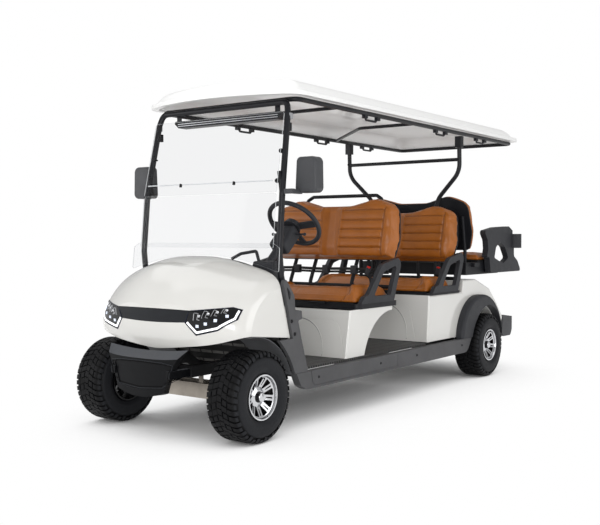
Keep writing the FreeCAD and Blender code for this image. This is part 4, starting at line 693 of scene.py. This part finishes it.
def even_normals(mesh, rounds=6):
    """Vertex normals evened out, so that they don't follow the mesh's small bumps."""
    normals = eased(mesh, read(mesh, "normal"), rounds)
    return normals / np.linalg.norm(normals, axis=1)[:, None]


def off_rest(spots, rest):
    """How far each point is from the plane the piece rests on, in metres."""
    reach = spots @ np.array(rest)
    return reach.max() - reach


def soften(mesh, rest, rounds, least=0.08):
    """Rounds the cover's edges, less and less towards its resting side."""
    spots = read(mesh, "co")
    away = off_rest(spots, rest)
    hold = least + (0.7 - least) * np.clip(away / away.max() * 1.6, 0.0, 1.0)[:, None]
    mesh.vertices.foreach_set("co", eased(mesh, spots, rounds, hold).ravel())
    mesh.update()


def pad(node, name, body, rest, carve):
    """A stuffed cover in the space of a CAD solid. rest is the way its resting side faces,
    carve moves the points of the finished cover and gives how deep in a seam each one is,
    which sets how much painted shade the leather takes there."""
    piece = solid_mesh(node, name)
    shell = surface_of(node)
    mesh = piece.data
    soften(mesh, rest, 14)
    spots = read(mesh, "co")
    away = off_rest(spots, rest)
    inset = SHRINK * np.clip((away - 0.004) / 0.04, 0.0, 1.0)[:, None]
    mesh.vertices.foreach_set("co", (spots - even_normals(mesh) * inset).ravel())
    mesh.update()
    plump(piece, away < HELD)
    soften(piece.data, rest, 3, 0.0)
    fine = piece.modifiers.new("fine", "SUBSURF")
    fine.levels = 1
    fine.render_levels = 1
    settle(piece)
    mesh = piece.data
    # How deep in a seam each point lies, kept for the leather's painted shade.
    recess_shade = mesh.attributes.new("recess_shade", "FLOAT", "POINT")
    depth = []
    for vertex, normal in zip(mesh.vertices, even_normals(mesh, 8)):
        normal = Vector(normal)
        move, deep = carve(vertex.co, normal)
        vertex.co += move
        depth.append(deep)
        near, outward, _, _ = shell.find_nearest(vertex.co)
        spare = (vertex.co - near).dot(outward)
        towards = normal.dot(rest)
        allowed = (PROUD * (1.0 - smooth_step(-0.2, 0.5, towards))
                   + PROUD_FACE * smooth_step(0.3, 0.8, -towards))
        if spare > allowed:
            vertex.co -= outward * (spare - allowed)
    recess_shade.data.foreach_set("value", depth)
    mesh.materials.append(LEATHER)
    mesh.shade_smooth()
    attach(piece, body)
    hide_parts(node)


# Backrests, in mm: the heights of the sewn channels, the sides of the channelled panel and the
# bolster, and how high or deep each feature is.
PLEATS = (15.0, 78.0, 140.0, 200.0, 262.0, 332.0)
PANEL_INNER, PANEL_OUTER, BOLSTER_SIDE = 70.0, 403.0, 448.0
SWELL, CHANNEL, PANEL_SEAM, RIDGE, CENTRE_DIP, BOLSTER, CREASES = 5.5, 7.0, 6.5, 8.0, 11.0, 6.0, 1.3
# Cushions, in mm: the sitting area's edge at the top and the foot of the front face, its run
# inward per mm back, the welt near each end, and how high or deep each feature is.
SIT_EDGE, SIT_EDGE_LOW, SIT_TAPER, WELT_SIDE = 430.0, 369.0, 0.54, 468.0
SIT_DEPTH, SIT_CROWN, SIT_SEAM, SIT_MIDDLE, SIT_WAVES, BACK_STEP = 21.0, 7.0, 5.0, 2.4, 2.0, 3.0
FRONT_SEAM, FRONT_WELT, FRONT_WAVES = 4.5, 3.0, 1.6


def backrest_carver(along, low, sign):
    """Shapes a backrest's channelled panels, plain centre and bolsters.
    sign is 1 for a seat that faces the front and -1 for one that faces the rear."""
    origin = at(0.0, along, low)
    rise = Vector((0.0, sign * math.sin(LEAN), math.cos(LEAN)))
    out = Vector((0.0, -sign * math.cos(LEAN), math.sin(LEAN)))

    def carve(point, normal):
        place = point - origin
        side = abs(place.x) / MM
        up = place.dot(rise) / MM
        facing = smooth_step(0.25, 0.75, normal.dot(out))
        tall = (smooth_step(PLEATS[0] - 6, PLEATS[0] + 6, up)
                * (1 - smooth_step(PLEATS[-1] - 6, PLEATS[-1] + 6, up)))
        share = min(1.0, max(0.0, up / PLEATS[-1]))
        inner = PANEL_INNER + 15.0 * share
        outer = PANEL_OUTER + 9.0 * share
        panel = smooth_step(inner - 5, inner + 5, side) * (1 - smooth_step(outer - 5, outer + 5, side))
        deep = max([bell(up - level, 4.0) for level in PLEATS]) * panel
        edges = bell(side - outer, 5.0) * smooth_step(0, 20, up) * (1 - smooth_step(340, 372, up))
        ridge = bell(side - inner, 9.0) * smooth_step(-10, 30, up)
        swell = 0.0
        for bottom, top in zip(PLEATS, PLEATS[1:]):
            if bottom <= up <= top:
                swell = 1 - ((up - bottom) * 2 / (top - bottom) - 1) ** 2
        height = SWELL * swell * panel * tall - CHANNEL * deep - PANEL_SEAM * edges
        height += RIDGE * ridge - CENTRE_DIP * (1 - smooth_step(20, 72, side))
        height += BOLSTER * bell(side - BOLSTER_SIDE, 26.0)
        height += CREASES * (noise.noise(place * 14.0) - 0.1) * (1 - panel)
        # The second value is how deep in a seam the point lies: the share of painted shade it takes.
        return out * height * MM * facing, facing * max(deep, edges, 0.35 * bell(side - inner + 9, 5.0))

    return carve


def cushion_carver(front, rear, low, top):
    """Shapes a seat cushion: a lower sitting area between two bolsters that run inward."""
    sign = 1.0 if rear > front else -1.0
    ahead = Vector((0.0, -sign, 0.0))
    length = abs(rear - front)

    def carve(point, normal):
        side = abs(point.x) / MM
        along = sign * ((point.y - AXLE) / MM - front)
        up = point.z / MM
        facing = smooth_step(0.2, 0.7, normal.z)
        facing_front = smooth_step(0.3, 0.8, normal.dot(ahead))
        line = SIT_EDGE - SIT_TAPER * max(0.0, along - 20.0)
        share = (up - low) / (top - low)
        front_line = SIT_EDGE_LOW + (SIT_EDGE - SIT_EDGE_LOW) * min(1.0, max(0.0, share))
        gap = (side - line) / 1.14
        sunk = 1 - smooth_step(-26, 5, gap)
        crown = bell(side - 205, 120.0) * bell(along - 170, 150.0)
        crease = bell(gap + 3, 4.5)
        back_band = smooth_step(length - 34, length - 22, along)
        height = -SIT_DEPTH * sunk + SIT_CROWN * crown * sunk - SIT_SEAM * crease
        height -= SIT_MIDDLE * bell(side, 10.0) * sunk
        height += SIT_WAVES * noise.noise(point * 9.0)
        height -= BACK_STEP * back_band
        front_gap = side - front_line
        push = -FRONT_SEAM * bell(front_gap, 5.0) - FRONT_WELT * bell(side - WELT_SIDE, 4.5)
        push += FRONT_WAVES * noise.noise(point * 11.0)
        move = Vector((0.0, 0.0, height * MM * facing)) + ahead * push * MM * facing_front
        # How deep in the crease, the front seam and the welt the point lies: the share of painted shade
        # it takes.
        welt = max(bell(front_gap, 4.5), 0.7 * bell(side - WELT_SIDE, 4.0))
        return move, max(facing * crease, facing_front * welt)

    return carve


# Row, the foot of its face along and up, and 1 where it faces the front.
BACKRESTS = (("front", 1549, 900, 1), ("middle", 2403, 876, 1), ("rear", 2687, 956, -1))
# Row, front and rear along, and low and top edges up.
CUSHIONS = (
    ("front", 1040, 1465, 658.5, 762), ("middle", 1975, 2350, 679.5, 783),
    ("rear", 3184, 2819, 884.5, 952),
)
for row, foot, low, sign in BACKRESTS:
    behind = Vector((0.0, sign * math.cos(LEAN), -math.sin(LEAN)))
    pad(row + "_backrest", row + "_back_cover", "cart", behind, backrest_carver(foot, low, sign))
for row, front, rear, low, top in CUSHIONS:
    pad(row + "_seat_cushion", row + "_seat_cover", row + "_seat", Vector((0.0, 0.0, -1.0)),
        cushion_carver(front, rear, low, top))


# ---------------------------------------------------------------- tyres

# Half of the section, in mm: (offset from the middle, radius).
TYRE_HALF = (
    (0, 239), (44, 239), (72, 238.4), (84, 234.6), (92.5, 227), (97, 216), (99.5, 204),
    (102, 190), (103.8, 176), (104, 163), (102, 150), (97, 136), (90, 124), (84, 119), (80, 118.8),
)
TREAD_DEEP = 7.5
FOOT_DEEP = TREAD_DEEP + 0.6
PITCHES = 44
SIDES = 120
STAGGER = 3.2
SHOULDER_CUT = 9.0
# (radius, height) along the valve.
VALVE = ((4.5, -12), (4.5, 0), (3.4, 6), (3.4, 14), (4.0, 14.5), (4.0, 20), (3.0, 21))


class Section:
    """The tyre's outer curve, read by the distance along it from the middle of the tread."""

    def __init__(self):
        self.points = curve_through([Vector((offset, radius, 0.0)) for offset, radius in TYRE_HALF])
        self.marks = [0.0]
        for a, b in zip(self.points, self.points[1:]):
            self.marks.append(self.marks[-1] + (b - a).length)

    def at(self, reach, sink=0.0):
        """Offset and radius at a distance either side of the middle, sunk by some depth."""
        sign = -1.0 if reach < 0 else 1.0
        reach = min(abs(reach), self.marks[-1] - 0.001)
        i = bisect(self.marks, reach) - 1
        span = self.marks[i + 1] - self.marks[i]
        share = (reach - self.marks[i]) / span
        point = self.points[i].lerp(self.points[i + 1], share)
        along = (self.points[i + 1] - self.points[i]).normalized()
        point = point - Vector((-along.y, along.x, 0.0)) * sink
        return sign * point.x, point.y


SECTION = Section()


def wheel_point(centre, offset, radius, turn):
    """A point of a wheel from its offset along the axle, its radius and its turn."""
    return centre + Vector((offset * MM, math.cos(turn) * radius * MM, math.sin(turn) * radius * MM))


def tread_block(bm, groove_shade, centre, edges, turns, slant):
    """One raised block between two reaches across the tread and two turns round it."""
    across = 3 + int(abs(edges[1] - edges[0]) / 14)
    around = 2

    def corner(i, j, sink=0.0):
        reach = edges[0] + (edges[1] - edges[0]) * i / across
        turn = turns[0] + (turns[1] - turns[0]) * j / around + slant(reach)
        return bm.verts.new(wheel_point(centre, *SECTION.at(reach, sink), turn))

    tops = [[corner(i, j) for j in range(around + 1)] for i in range(across + 1)]
    for a, b in zip(tops, tops[1:]):
        for j in range(around):
            bm.faces.new((a[j], a[j + 1], b[j + 1], b[j]))
    rim = ([(0, j) for j in range(around + 1)] + [(i, around) for i in range(1, across + 1)]
           + [(across, j) for j in range(around - 1, -1, -1)]
           + [(i, 0) for i in range(across - 1, 0, -1)])
    feet = [corner(i, j, FOOT_DEEP) for i, j in rim]
    for k, (i, j) in enumerate(rim):
        # The feet of the blocks lie down in the grooves and take all of the painted shade.
        feet[k][groove_shade] = 1.0
        n = (k + 1) % len(rim)
        bm.faces.new((tops[i][j], feet[k], feet[n], tops[rim[n][0]][rim[n][1]]))


def tyre(label, centre, body):
    """A tyre with a smooth carcass and a staggered block tread."""
    bm = bmesh.new()
    groove_shade = bm.verts.layers.float.new("recess_shade")
    total = SECTION.marks[-1]
    rows = []
    for reach in (total * k / 34 for k in range(-34, 35)):
        gap = abs(reach)
        sunk = 1.0 - smooth_step(112.0, 124.0, gap)
        offset, radius = SECTION.at(reach, TREAD_DEEP * sunk)
        bead = smooth_step(total - 46, total - 40, gap) - smooth_step(total - 36, total - 30, gap)
        ridge = smooth_step(128, 130, gap) - smooth_step(133, 135, gap)
        offset += math.copysign(1.6 * bead + 1.2 * ridge, reach)
        row = []
        for i in range(SIDES):
            vertex = bm.verts.new(wheel_point(centre, offset, radius, 2 * math.pi * i / SIDES))
            # 1 down in the grooves, where the rubber is painted darker as shade.
            vertex[groove_shade] = sunk
            row.append(vertex)
        rows.append(row)
    for a, b in zip(rows, rows[1:] + rows[:1]):
        for i in range(SIDES):
            j = (i + 1) % SIDES
            bm.faces.new((a[i], a[j], b[j], b[i]))
    step = 2 * math.pi / PITCHES
    # Each rib's reaches, phase, share of the pitch that the block fills, and slant.
    ribs = (
        ((-14, 14), 0.0, 0.86, lambda reach: 0.012 * math.sin(reach / 14 * math.pi / 2)),
        ((19, 47), 0.42, 0.8, lambda reach: 0.0016 * (reach - 19)),
        ((-47, -19), 0.08, 0.8, lambda reach: -0.0016 * (reach + 19)),
        ((53, 116), 0.9, 0.72, lambda reach: 0.0009 * (reach - 53)),
        ((-116, -53), 0.5, 0.72, lambda reach: -0.0009 * (reach + 53)),
    )
    for (low, high), phase, fill, slant in ribs:
        for k in range(PITCHES):
            start = (k + phase) * step
            stagger = STAGGER if k % 2 else -STAGGER
            inner = low + (stagger if low > 14 else 0)
            outer = high + (stagger if high < -14 else 0)
            if k % 2 and low > 50:
                outer -= SHOULDER_CUT
            elif k % 2 and high < -50:
                inner += SHOULDER_CUT
            tread_block(bm, groove_shade, centre, (inner, outer), (start, start + step * fill), slant)
    bmesh.ops.recalc_face_normals(bm, faces=bm.faces)
    mesh = bpy.data.meshes.new("tyre_tread_" + label)
    bm.to_mesh(mesh)
    bm.free()
    piece = put("tread_" + label, mesh, RUBBER, body, 0.5)
    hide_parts("tyre_" + label)


TYRES = (
    ("front_left", 1, 0, "wheel_front_l"), ("front_right", -1, 0, "wheel_front_r"),
    ("rear_left", 1, WHEELBASE, "wheel_rear_l"), ("rear_right", -1, WHEELBASE, "wheel_rear_r"),
)
for tyre_label, tyre_side, tyre_along, tyre_body in TYRES:
    middle = at(WHEEL_SIDE * tyre_side, tyre_along, TYRE_RADIUS)
    tyre(tyre_label, middle, tyre_body)
    valve = Bundle("valve_" + tyre_label, RUBBER, "tyre_rubber", tyre_body)
    place = middle + Vector((tyre_side * 84 * MM, 0.0, 101 * MM))
    valve.turned(place, (tyre_side, 0, 0), VALVE, 14)
    valve.finish()


# ---------------------------------------------------------------- lamps

# Lines over the lamp and the places of its square lights, as (side, up) in mm; the last table
# holds the opposite corners of the reflectors.
LAMP_PATH = ((247, 622), (297, 570), (414, 597), (484, 645), (490, 684))
LAMP_RIM = (
    (262, 681), (235, 620), (292, 556), (417, 585), (495, 640), (500, 688), (463, 701), (262, 681),
)
LAMP_SQUARES = ((306, 604), (354, 618), (404, 636), (450, 658))
LAMP_BARS = ((286, 634, 322, 672), (334, 646, 366, 682), (378, 656, 406, 688), (420, 670, 444, 694))


def on_face(tree, side, up, proud):
    """The point of a face that looks forward, at a side and height, and its normal."""
    hit, normal, _, _ = tree.ray_cast(Vector((side * MM, -3.0, up * MM)), REARWARD)
    if hit is None:
        hit, normal, _, _ = tree.find_nearest(Vector((side * MM, -1.75, up * MM)))
    if normal.y > 0:
        normal = -normal
    return hit + normal * proud * MM, normal


def polyline(corners, step=9.0):
    """Points at short steps along straight runs between corners."""
    line = []
    for (x0, z0), (x1, z1) in zip(corners, corners[1:]):
        count = max(2, int(math.hypot(x1 - x0, z1 - z0) / step))
        line += [(x0 + (x1 - x0) * i / count, z0 + (z1 - z0) * i / count) for i in range(count)]
    return line + [corners[-1]]


def laid(tree, line, proud):
    """A line of (side, up) laid, proud by some mm, on a face that looks forward: its points and
    normals."""
    return zip(*(on_face(tree, side, up, proud) for side, up in line))


def struck(tree, line, start):
    """A line of (side, up) thrown rearward from y = start; points that miss are left out."""
    points, faces = [], []
    for side, up in line:
        hit, normal, _, _ = tree.ray_cast(Vector((side * MM, start, up * MM)), REARWARD)
        if hit is not None:
            points.append(hit + normal * 0.4 * MM)
            faces.append(normal)
    return points, faces


def lamps():
    """Light strips, rims, square lights and reflectors on both headlamps."""
    tree = surface_of("headlamps")
    strip = Bundle("lamp_strips", LED, "lamp_lens")
    rim = Bundle("lamp_rims", LAMP_EDGE, "lamp_lens")
    dots = Bundle("lamp_squares", LED_DOT, "lamp_lens")
    cups = Bundle("lamp_reflectors", CHROME, "bare_steel")
    for sign in (1, -1):
        for bundle, corners, wide, thick, proud in ((strip, LAMP_PATH, 11.0, 5.0, 1.5),
                                                    (rim, LAMP_RIM, 4.5, 4.0, 1.0)):
            line = [(side * sign, up) for side, up in polyline(corners)]
            bundle.strip(*laid(tree, line, proud), wide, thick)
        for side, up in LAMP_SQUARES:
            point, normal = on_face(tree, side * sign, up, 1.2)
            turn = normal.to_track_quat("Y", "Z").to_matrix()
            dots.block(point, (17, 5, 15), 1.2, turn)
        for x0, z0, x1, z1 in LAMP_BARS:
            corners = [(x0, z0), (x0 + 6, z1), (x1 - 8, z1 - 3), (x1 - 14, z0 + 4), (x1, z0 + 2)]
            line = [(side * sign, up) for side, up in polyline(corners, 5.0)]
            cups.strip(*laid(tree, line, 1.0), 3.6, 3.5)
            point, normal = on_face(tree, (x1 - 3) * sign, (z0 + z1) / 2 + 4, 0.5)
            cups.turned(point, normal, [(7.0, -2.0), (7.0, 2.4), (5.4, 3.4), (3.0, 1.0)], 20)
    for bundle in (strip, rim, dots, cups):
        bundle.finish()


lamps()


# ---------------------------------------------------------------- hardware

bolts = Bundle("sill_bolts", FASTENER, "frame_black")
for hand in (1, -1):
    for along in (550, 1230, 1698, 2381):
        bolts.dome(at(552 * hand, along, 273), (hand, 0, 0), 8.5, 4.0)
bolts.finish()

pillar_bolts = Bundle("pillar_fasteners", FASTENER, "frame_black")
strut_tree = surface_of("front_struts")
for hand in (1, -1):
    for along, up in ((292, 606), (320, 535)):
        spot, facing, _, _ = strut_tree.ray_cast(at(900 * hand, along, up), Vector((-hand, 0.0, 0.0)))
        if spot is not None:
            pillar_bolts.dome(spot, (hand, 0, 0), 11.0, 5.0)
    pillar_bolts.dome(at(481 * hand, 2448, 1640), (0, -1, 0), 8.0, 5.0)
pillar_bolts.finish()


# (radius, height) along a hand knob, in mm, and the height of the panes' fold, in metres.
KNOB = ((5, -16), (5, 0), (11, 2), (13, 6), (13, 12), (11, 16), (5, 17))
FOLD = 1.366


def windshield_trim():
    """The folding strip between the panes with its clips, hinge blocks and hand knobs."""
    tree = surface_of("windshield_upper")
    strip = Bundle("fold_strip", FOLD_STRIP, "clear_pane")
    points, faces = [], []
    for i in range(25):
        side = -476 + 941 * i / 24
        hit, normal = on_face(tree, side, FOLD / MM, 1.0)
        points.append(Vector((side * MM, hit.y, FOLD)))
        faces.append(normal)
    strip.strip(points, faces, 6.0, 5.0)
    strip.finish()
    clips = Bundle("fold_clips", FASTENER, "frame_black")
    for side in (-206, 198):
        hit, normal = on_face(tree, side, FOLD / MM - 6, 3.0)
        place = Vector((side * MM, hit.y, FOLD))
        turn = normal.to_track_quat("Y", "Z").to_matrix()
        clips.block(place - Vector((0.0, 0.0, 0.006)), (15, 9, 20), 2.0, turn)
        clips.dome(place + normal * 5 * MM, normal, 4.5, 3.0)
    for sign in (1, -1):
        for side, along, up in ((480, 300, 1528), (472, 275, 1365)):
            clips.turned(at(side * sign, along, up), (0, -1, 0.15), KNOB, 18)
        clips.block(at(494 * sign, 272, 1358), (20, 24, 122), 3.0, Matrix.Rotation(0.18, 3, "X"))
        clips.block(at(488 * sign, 352, 1664), (22, 30, 46), 4.0)
    clips.finish()


windshield_trim()


def bar_lines():
    """Two bright lines along the front of the overhead bar."""
    tree = surface_of("overhead_bar")
    low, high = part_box("overhead_bar")
    bright = Bundle("overhead_bar_lines", SILVER, "bare_steel")
    for share in (0.3, 0.62):
        up = (low.z + (high.z - low.z) * 0.45 * share) / MM
        line = [(side, up) for side in range(-380, 381, 20)]
        bright.strip(*struck(tree, line, low.y - 0.3), 4.0, 1.6)
    bright.finish()


bar_lines()

hinges = Bundle("windshield_hinge_blocks", PALE, "trim_grey")
for hand in (1, -1):
    hinges.block(at(496 * hand, 352, 1722), (18, 34, 34), 4.0)
hinges.finish()


# ---------------------------------------------------------------- belts

def belts():
    """Lap belts wrapped round the stand behind each front bench, with their buckles."""
    band = Bundle("belt_webbing_bands", BELT, "trim_grey")
    body = Bundle("belt_buckles", TRIM, "trim_grey")
    button = Bundle("belt_buttons", RED, "trim_grey")
    for side, along, up, lean in ((304, 1475, 838, 0.35), (359, 2372, 812, 0.25)):
        top = at(side, along, up)
        turn = Matrix.Rotation(lean, 3, "Y")
        body.block(top, (34, 16, 56), 4.0, turn)
        button.block(top + turn @ Vector((0.0, -0.004, 0.026)), (24, 14, 12), 2.5, turn)
        foot = at(side + 60 * lean, along + 10, up - 96)
        middle = (top + foot) / 2 + Vector((0.0, 0.008, 0.0))
        line = curve_through([top + turn @ Vector((0, 0, -0.026)), middle, foot])
        band.strip(line, [Vector((0.0, -1.0, 0.1))] * len(line), 26, 2.4)
    for along, up, radius in ((1520, 846, 10.0), (1528, 826, 8.0)):
        line = [at(side, along, up + 2 * math.sin(side / 70.0)) for side in range(-430, 431, 20)]
        band.tube(line, radius, 10)
    for side in (-300, -60, 170):
        body.block(at(side, 1516, 842), (46, 34, 58), 6.0)
    for bundle in (band, body, button):
        bundle.finish()


belts()


# ---------------------------------------------------------------- mirrors

# A mirror glass, in mm: half its straight edges across and up, and its corner radius.
GLASS_ACROSS, GLASS_UP, GLASS_CORNER = 42, 66, 16


def mirror_glasses():
    """A glass and its thin bezel on the rear face of each mirror housing."""
    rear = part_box("mirrors")[1].y
    glass = Bundle("mirror_glasses", MIRROR_GLASS, "bare_steel")
    bezels = Bundle("mirror_bezels", TRIM, "trim_grey")
    for hand in (1, -1):
        centre = Vector((hand * 0.621, rear + 0.0005, 1.397))
        rings = []
        for lift, inset in ((0.0, 0.0), (0.8, 0.0), (1.1, 1.5)):
            ring = []
            for corner_x, corner_z, first in ((1, 1, 0), (-1, 1, 90), (-1, -1, 180), (1, -1, 270)):
                for step in range(6):
                    turn = math.radians(first + step * 18)
                    ring.append(centre + Vector((
                        (corner_x * GLASS_ACROSS + math.cos(turn) * (GLASS_CORNER - inset)) * MM,
                        lift * MM,
                        (corner_z * GLASS_UP + math.sin(turn) * (GLASS_CORNER - inset)) * MM)))
            rings.append(ring)
        glass.skin(rings)
        bezels.tube([point + Vector((0.0, 0.0006, 0.0)) for point in rings[0]], 2.6, 8, looped=True)
    glass.finish()
    bezels.finish()


mirror_glasses()


# ---------------------------------------------------------------- bench arches

# Node, half the arch's width, its foot and top, and its corner radius, in mm.
ARCHES = (("front_seat_base", 322, 338, 556, 190), ("rear_body", 330, 345, 592, 210))


def arch_lines():
    """The moulded arch line on the front face of each bench box: a grey strip of painted shadow for its
    groove, under a white lip.
    """
    line = Bundle("bench_arch_shadow_lines", ARCH_SHADE, "body_white")
    lip = Bundle("bench_arch_lips", BODY, "body_white")
    for node, reach, low, high, radius in ARCHES:
        tree = surface_of(node)
        corners = [(-reach, low)]
        for first, last, centre in ((180, 90, -reach + radius), (90, 0, reach - radius)):
            for k in range(13):
                turn = math.radians(first + (last - first) * k / 12)
                corners.append((centre + radius * math.cos(turn),
                                high - radius + radius * math.sin(turn)))
        corners.append((reach, low))
        points, faces = struck(tree, polyline(corners, 14.0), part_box(node)[0].y - 0.2)
        line.strip(points, faces, 5.0, 1.6)
        lip.strip([point + Vector((0.0, -0.0006, 0.0045)) for point in points], faces, 4.0, 2.4)
    line.finish()
    lip.finish()


arch_lines()


# ---------------------------------------------------------------- bumper

# The edge of the bumper's recessed panel, (side, up) in mm.
BUMPER_PANEL = (
    (-218, 398), (-196, 322), (-150, 292), (0, 280), (150, 292), (196, 322), (218, 398), (150, 408),
    (0, 412), (-150, 408), (-218, 398),
)


def bumper_lines():
    """The raised edge and the groove, a near-black strip of painted shadow, round the bumper's recessed
    panel.
    """
    tree = surface_of("front_bumper")
    groove_shade = Bundle("bumper_panel_groove", GROOVE_SHADOW, "trim_grey")
    edge = Bundle("bumper_panel_edge", BUMPER_EDGE, "trim_grey")
    for bundle, grow, wide, thick in ((groove_shade, 0.0, 5.0, 2.0), (edge, 7.0, 3.6, 3.0)):
        line = [(side + math.copysign(grow, side) * min(1.0, abs(side) / 150),
                 up + (grow if up > 350 else -grow)) for side, up in polyline(BUMPER_PANEL, 12.0)]
        bundle.strip(*laid(tree, line, 0.4), wide, thick)
        bundle.finish()


bumper_lines()


# ---------------------------------------------------------------- stage

# In metres: how near the cart must be to shade the floor, and where the shade fades to white.
# Then the open share of the sky that counts from none to all, and the curve between them.
SHADE_REACH = 1.1
SHADE_FADE = (2.6, 4.6)
SHADE_OPEN = (0.22, 0.88)
SHADE_CURVE = 0.62
# The sky's strength at the horizon and overhead, and the upward share at which it gets there.
SKY = (0.44, 0.7)
SKY_TOP = 0.9
WHITE = (1.0, 1.0, 1.0, 1.0)


def floor_material():
    """White to the eye, with a soft contact shadow that fades out away from the cart."""
    made = Shader("floor_sweep", (0.97, 0.97, 0.97, 1.0), 0.9)
    rays = made.node("ShaderNodeLightPath")
    glow = made.node("ShaderNodeEmission", Color=WHITE, Strength=1.0)
    length = made.node("ShaderNodeVectorMath", operation="LENGTH")
    made.link(made.place, length.inputs[0])
    far = made.spread(length.outputs["Value"], 0.0, 1.0, *SHADE_FADE)
    open_sky = made.node("ShaderNodeAmbientOcclusion", Distance=SHADE_REACH, samples=8)
    clear = made.spread(open_sky.outputs["AO"], 0.0, 1.0, *SHADE_OPEN)
    glowing = made.math("MAXIMUM", far, made.math("POWER", clear, SHADE_CURVE))
    either = made.math("MAXIMUM", rays.outputs["Is Glossy Ray"], rays.outputs["Is Transmission Ray"])
    seen = made.math("MAXIMUM", rays.outputs["Is Camera Ray"], either)
    share = made.math("MULTIPLY", seen, glowing)
    made.surface(made.blend(share, made.main.outputs[0], glow.outputs[0]))
    return made.material


def stage_floor():
    mesh = bpy.data.meshes.new("studio_floor")
    corners = [(-60.0, -60.0, 0), (60.0, -60.0, 0), (60.0, 60.0, 0), (-60.0, 60.0, 0)]
    mesh.from_pydata(corners, [], [(0, 1, 2, 3)])
    floor = bpy.data.objects.new("studio_floor", mesh)
    bpy.context.scene.collection.objects.link(floor)
    mesh.materials.append(floor_material())


def world_light():
    """Soft light that grows towards the zenith, and plain white where the camera sees it."""
    world = bpy.data.worlds.new("studio")
    bpy.context.scene.world = world
    sky = Wiring(world, "World Output")
    soft = sky.tree.nodes["Background"]
    soft.inputs["Color"].default_value = WHITE
    height = sky.axes(sky.coords.outputs["Generated"])["Z"]
    sky.link(sky.spread(height, *SKY, 0.0, SKY_TOP), soft.inputs["Strength"])
    white = sky.node("ShaderNodeBackground", Color=WHITE, Strength=1.0)
    rays = sky.node("ShaderNodeLightPath").outputs
    either = sky.math("MAXIMUM", rays["Is Camera Ray"], rays["Is Transmission Ray"])
    sky.surface(sky.blend(either, soft.outputs[0], white.outputs[0]))


def area_light(name, place, aim, size, power):
    data = bpy.data.lights.new(name, "AREA")
    data.shape = "RECTANGLE"
    data.size, data.size_y = size
    data.energy = power
    lamp = bpy.data.objects.new(name, data)
    lamp.location = place
    lamp.rotation_euler = (Vector(aim) - Vector(place)).to_track_quat("-Z", "Y").to_euler()
    bpy.context.scene.collection.objects.link(lamp)


def camera():
    """The camera that was fitted to the photograph's proportions."""
    data = bpy.data.cameras.new("camera")
    data.lens = 53.56
    data.sensor_width = 36.0
    data.clip_end = 200.0
    cam = bpy.data.objects.new("camera", data)
    cam.location = (3.4124, -5.1784, 1.058)
    cam.rotation_euler = (math.radians(90.0 - 1.593), 0.0, math.radians(35.976))
    bpy.context.scene.collection.objects.link(cam)
    bpy.context.scene.camera = cam


# Name, place, aim, size and power in watts.
LIGHTS = (
    ("overhead", (-1.0, -0.5, 5.0), (0.0, 0.0, 0.5), (5.0, 6.0), 66.0),
    ("side_fill", (6.0, 0.5, 2.0), (0.0, 0.2, 0.7), (3.6, 3.2), 64.0),
    ("left_fill", (-5.0, -5.2, 1.8), (0.0, -1.6, 0.6), (3.2, 2.6), 70.0),
    ("near_fill", (3.6, -6.6, 1.4), (0.0, 0.4, 0.6), (3.2, 2.2), 150.0),
)

stage_floor()
world_light()
for light in LIGHTS:
    area_light(*light)
camera()
bpy.context.scene.view_settings.view_transform = "Standard"
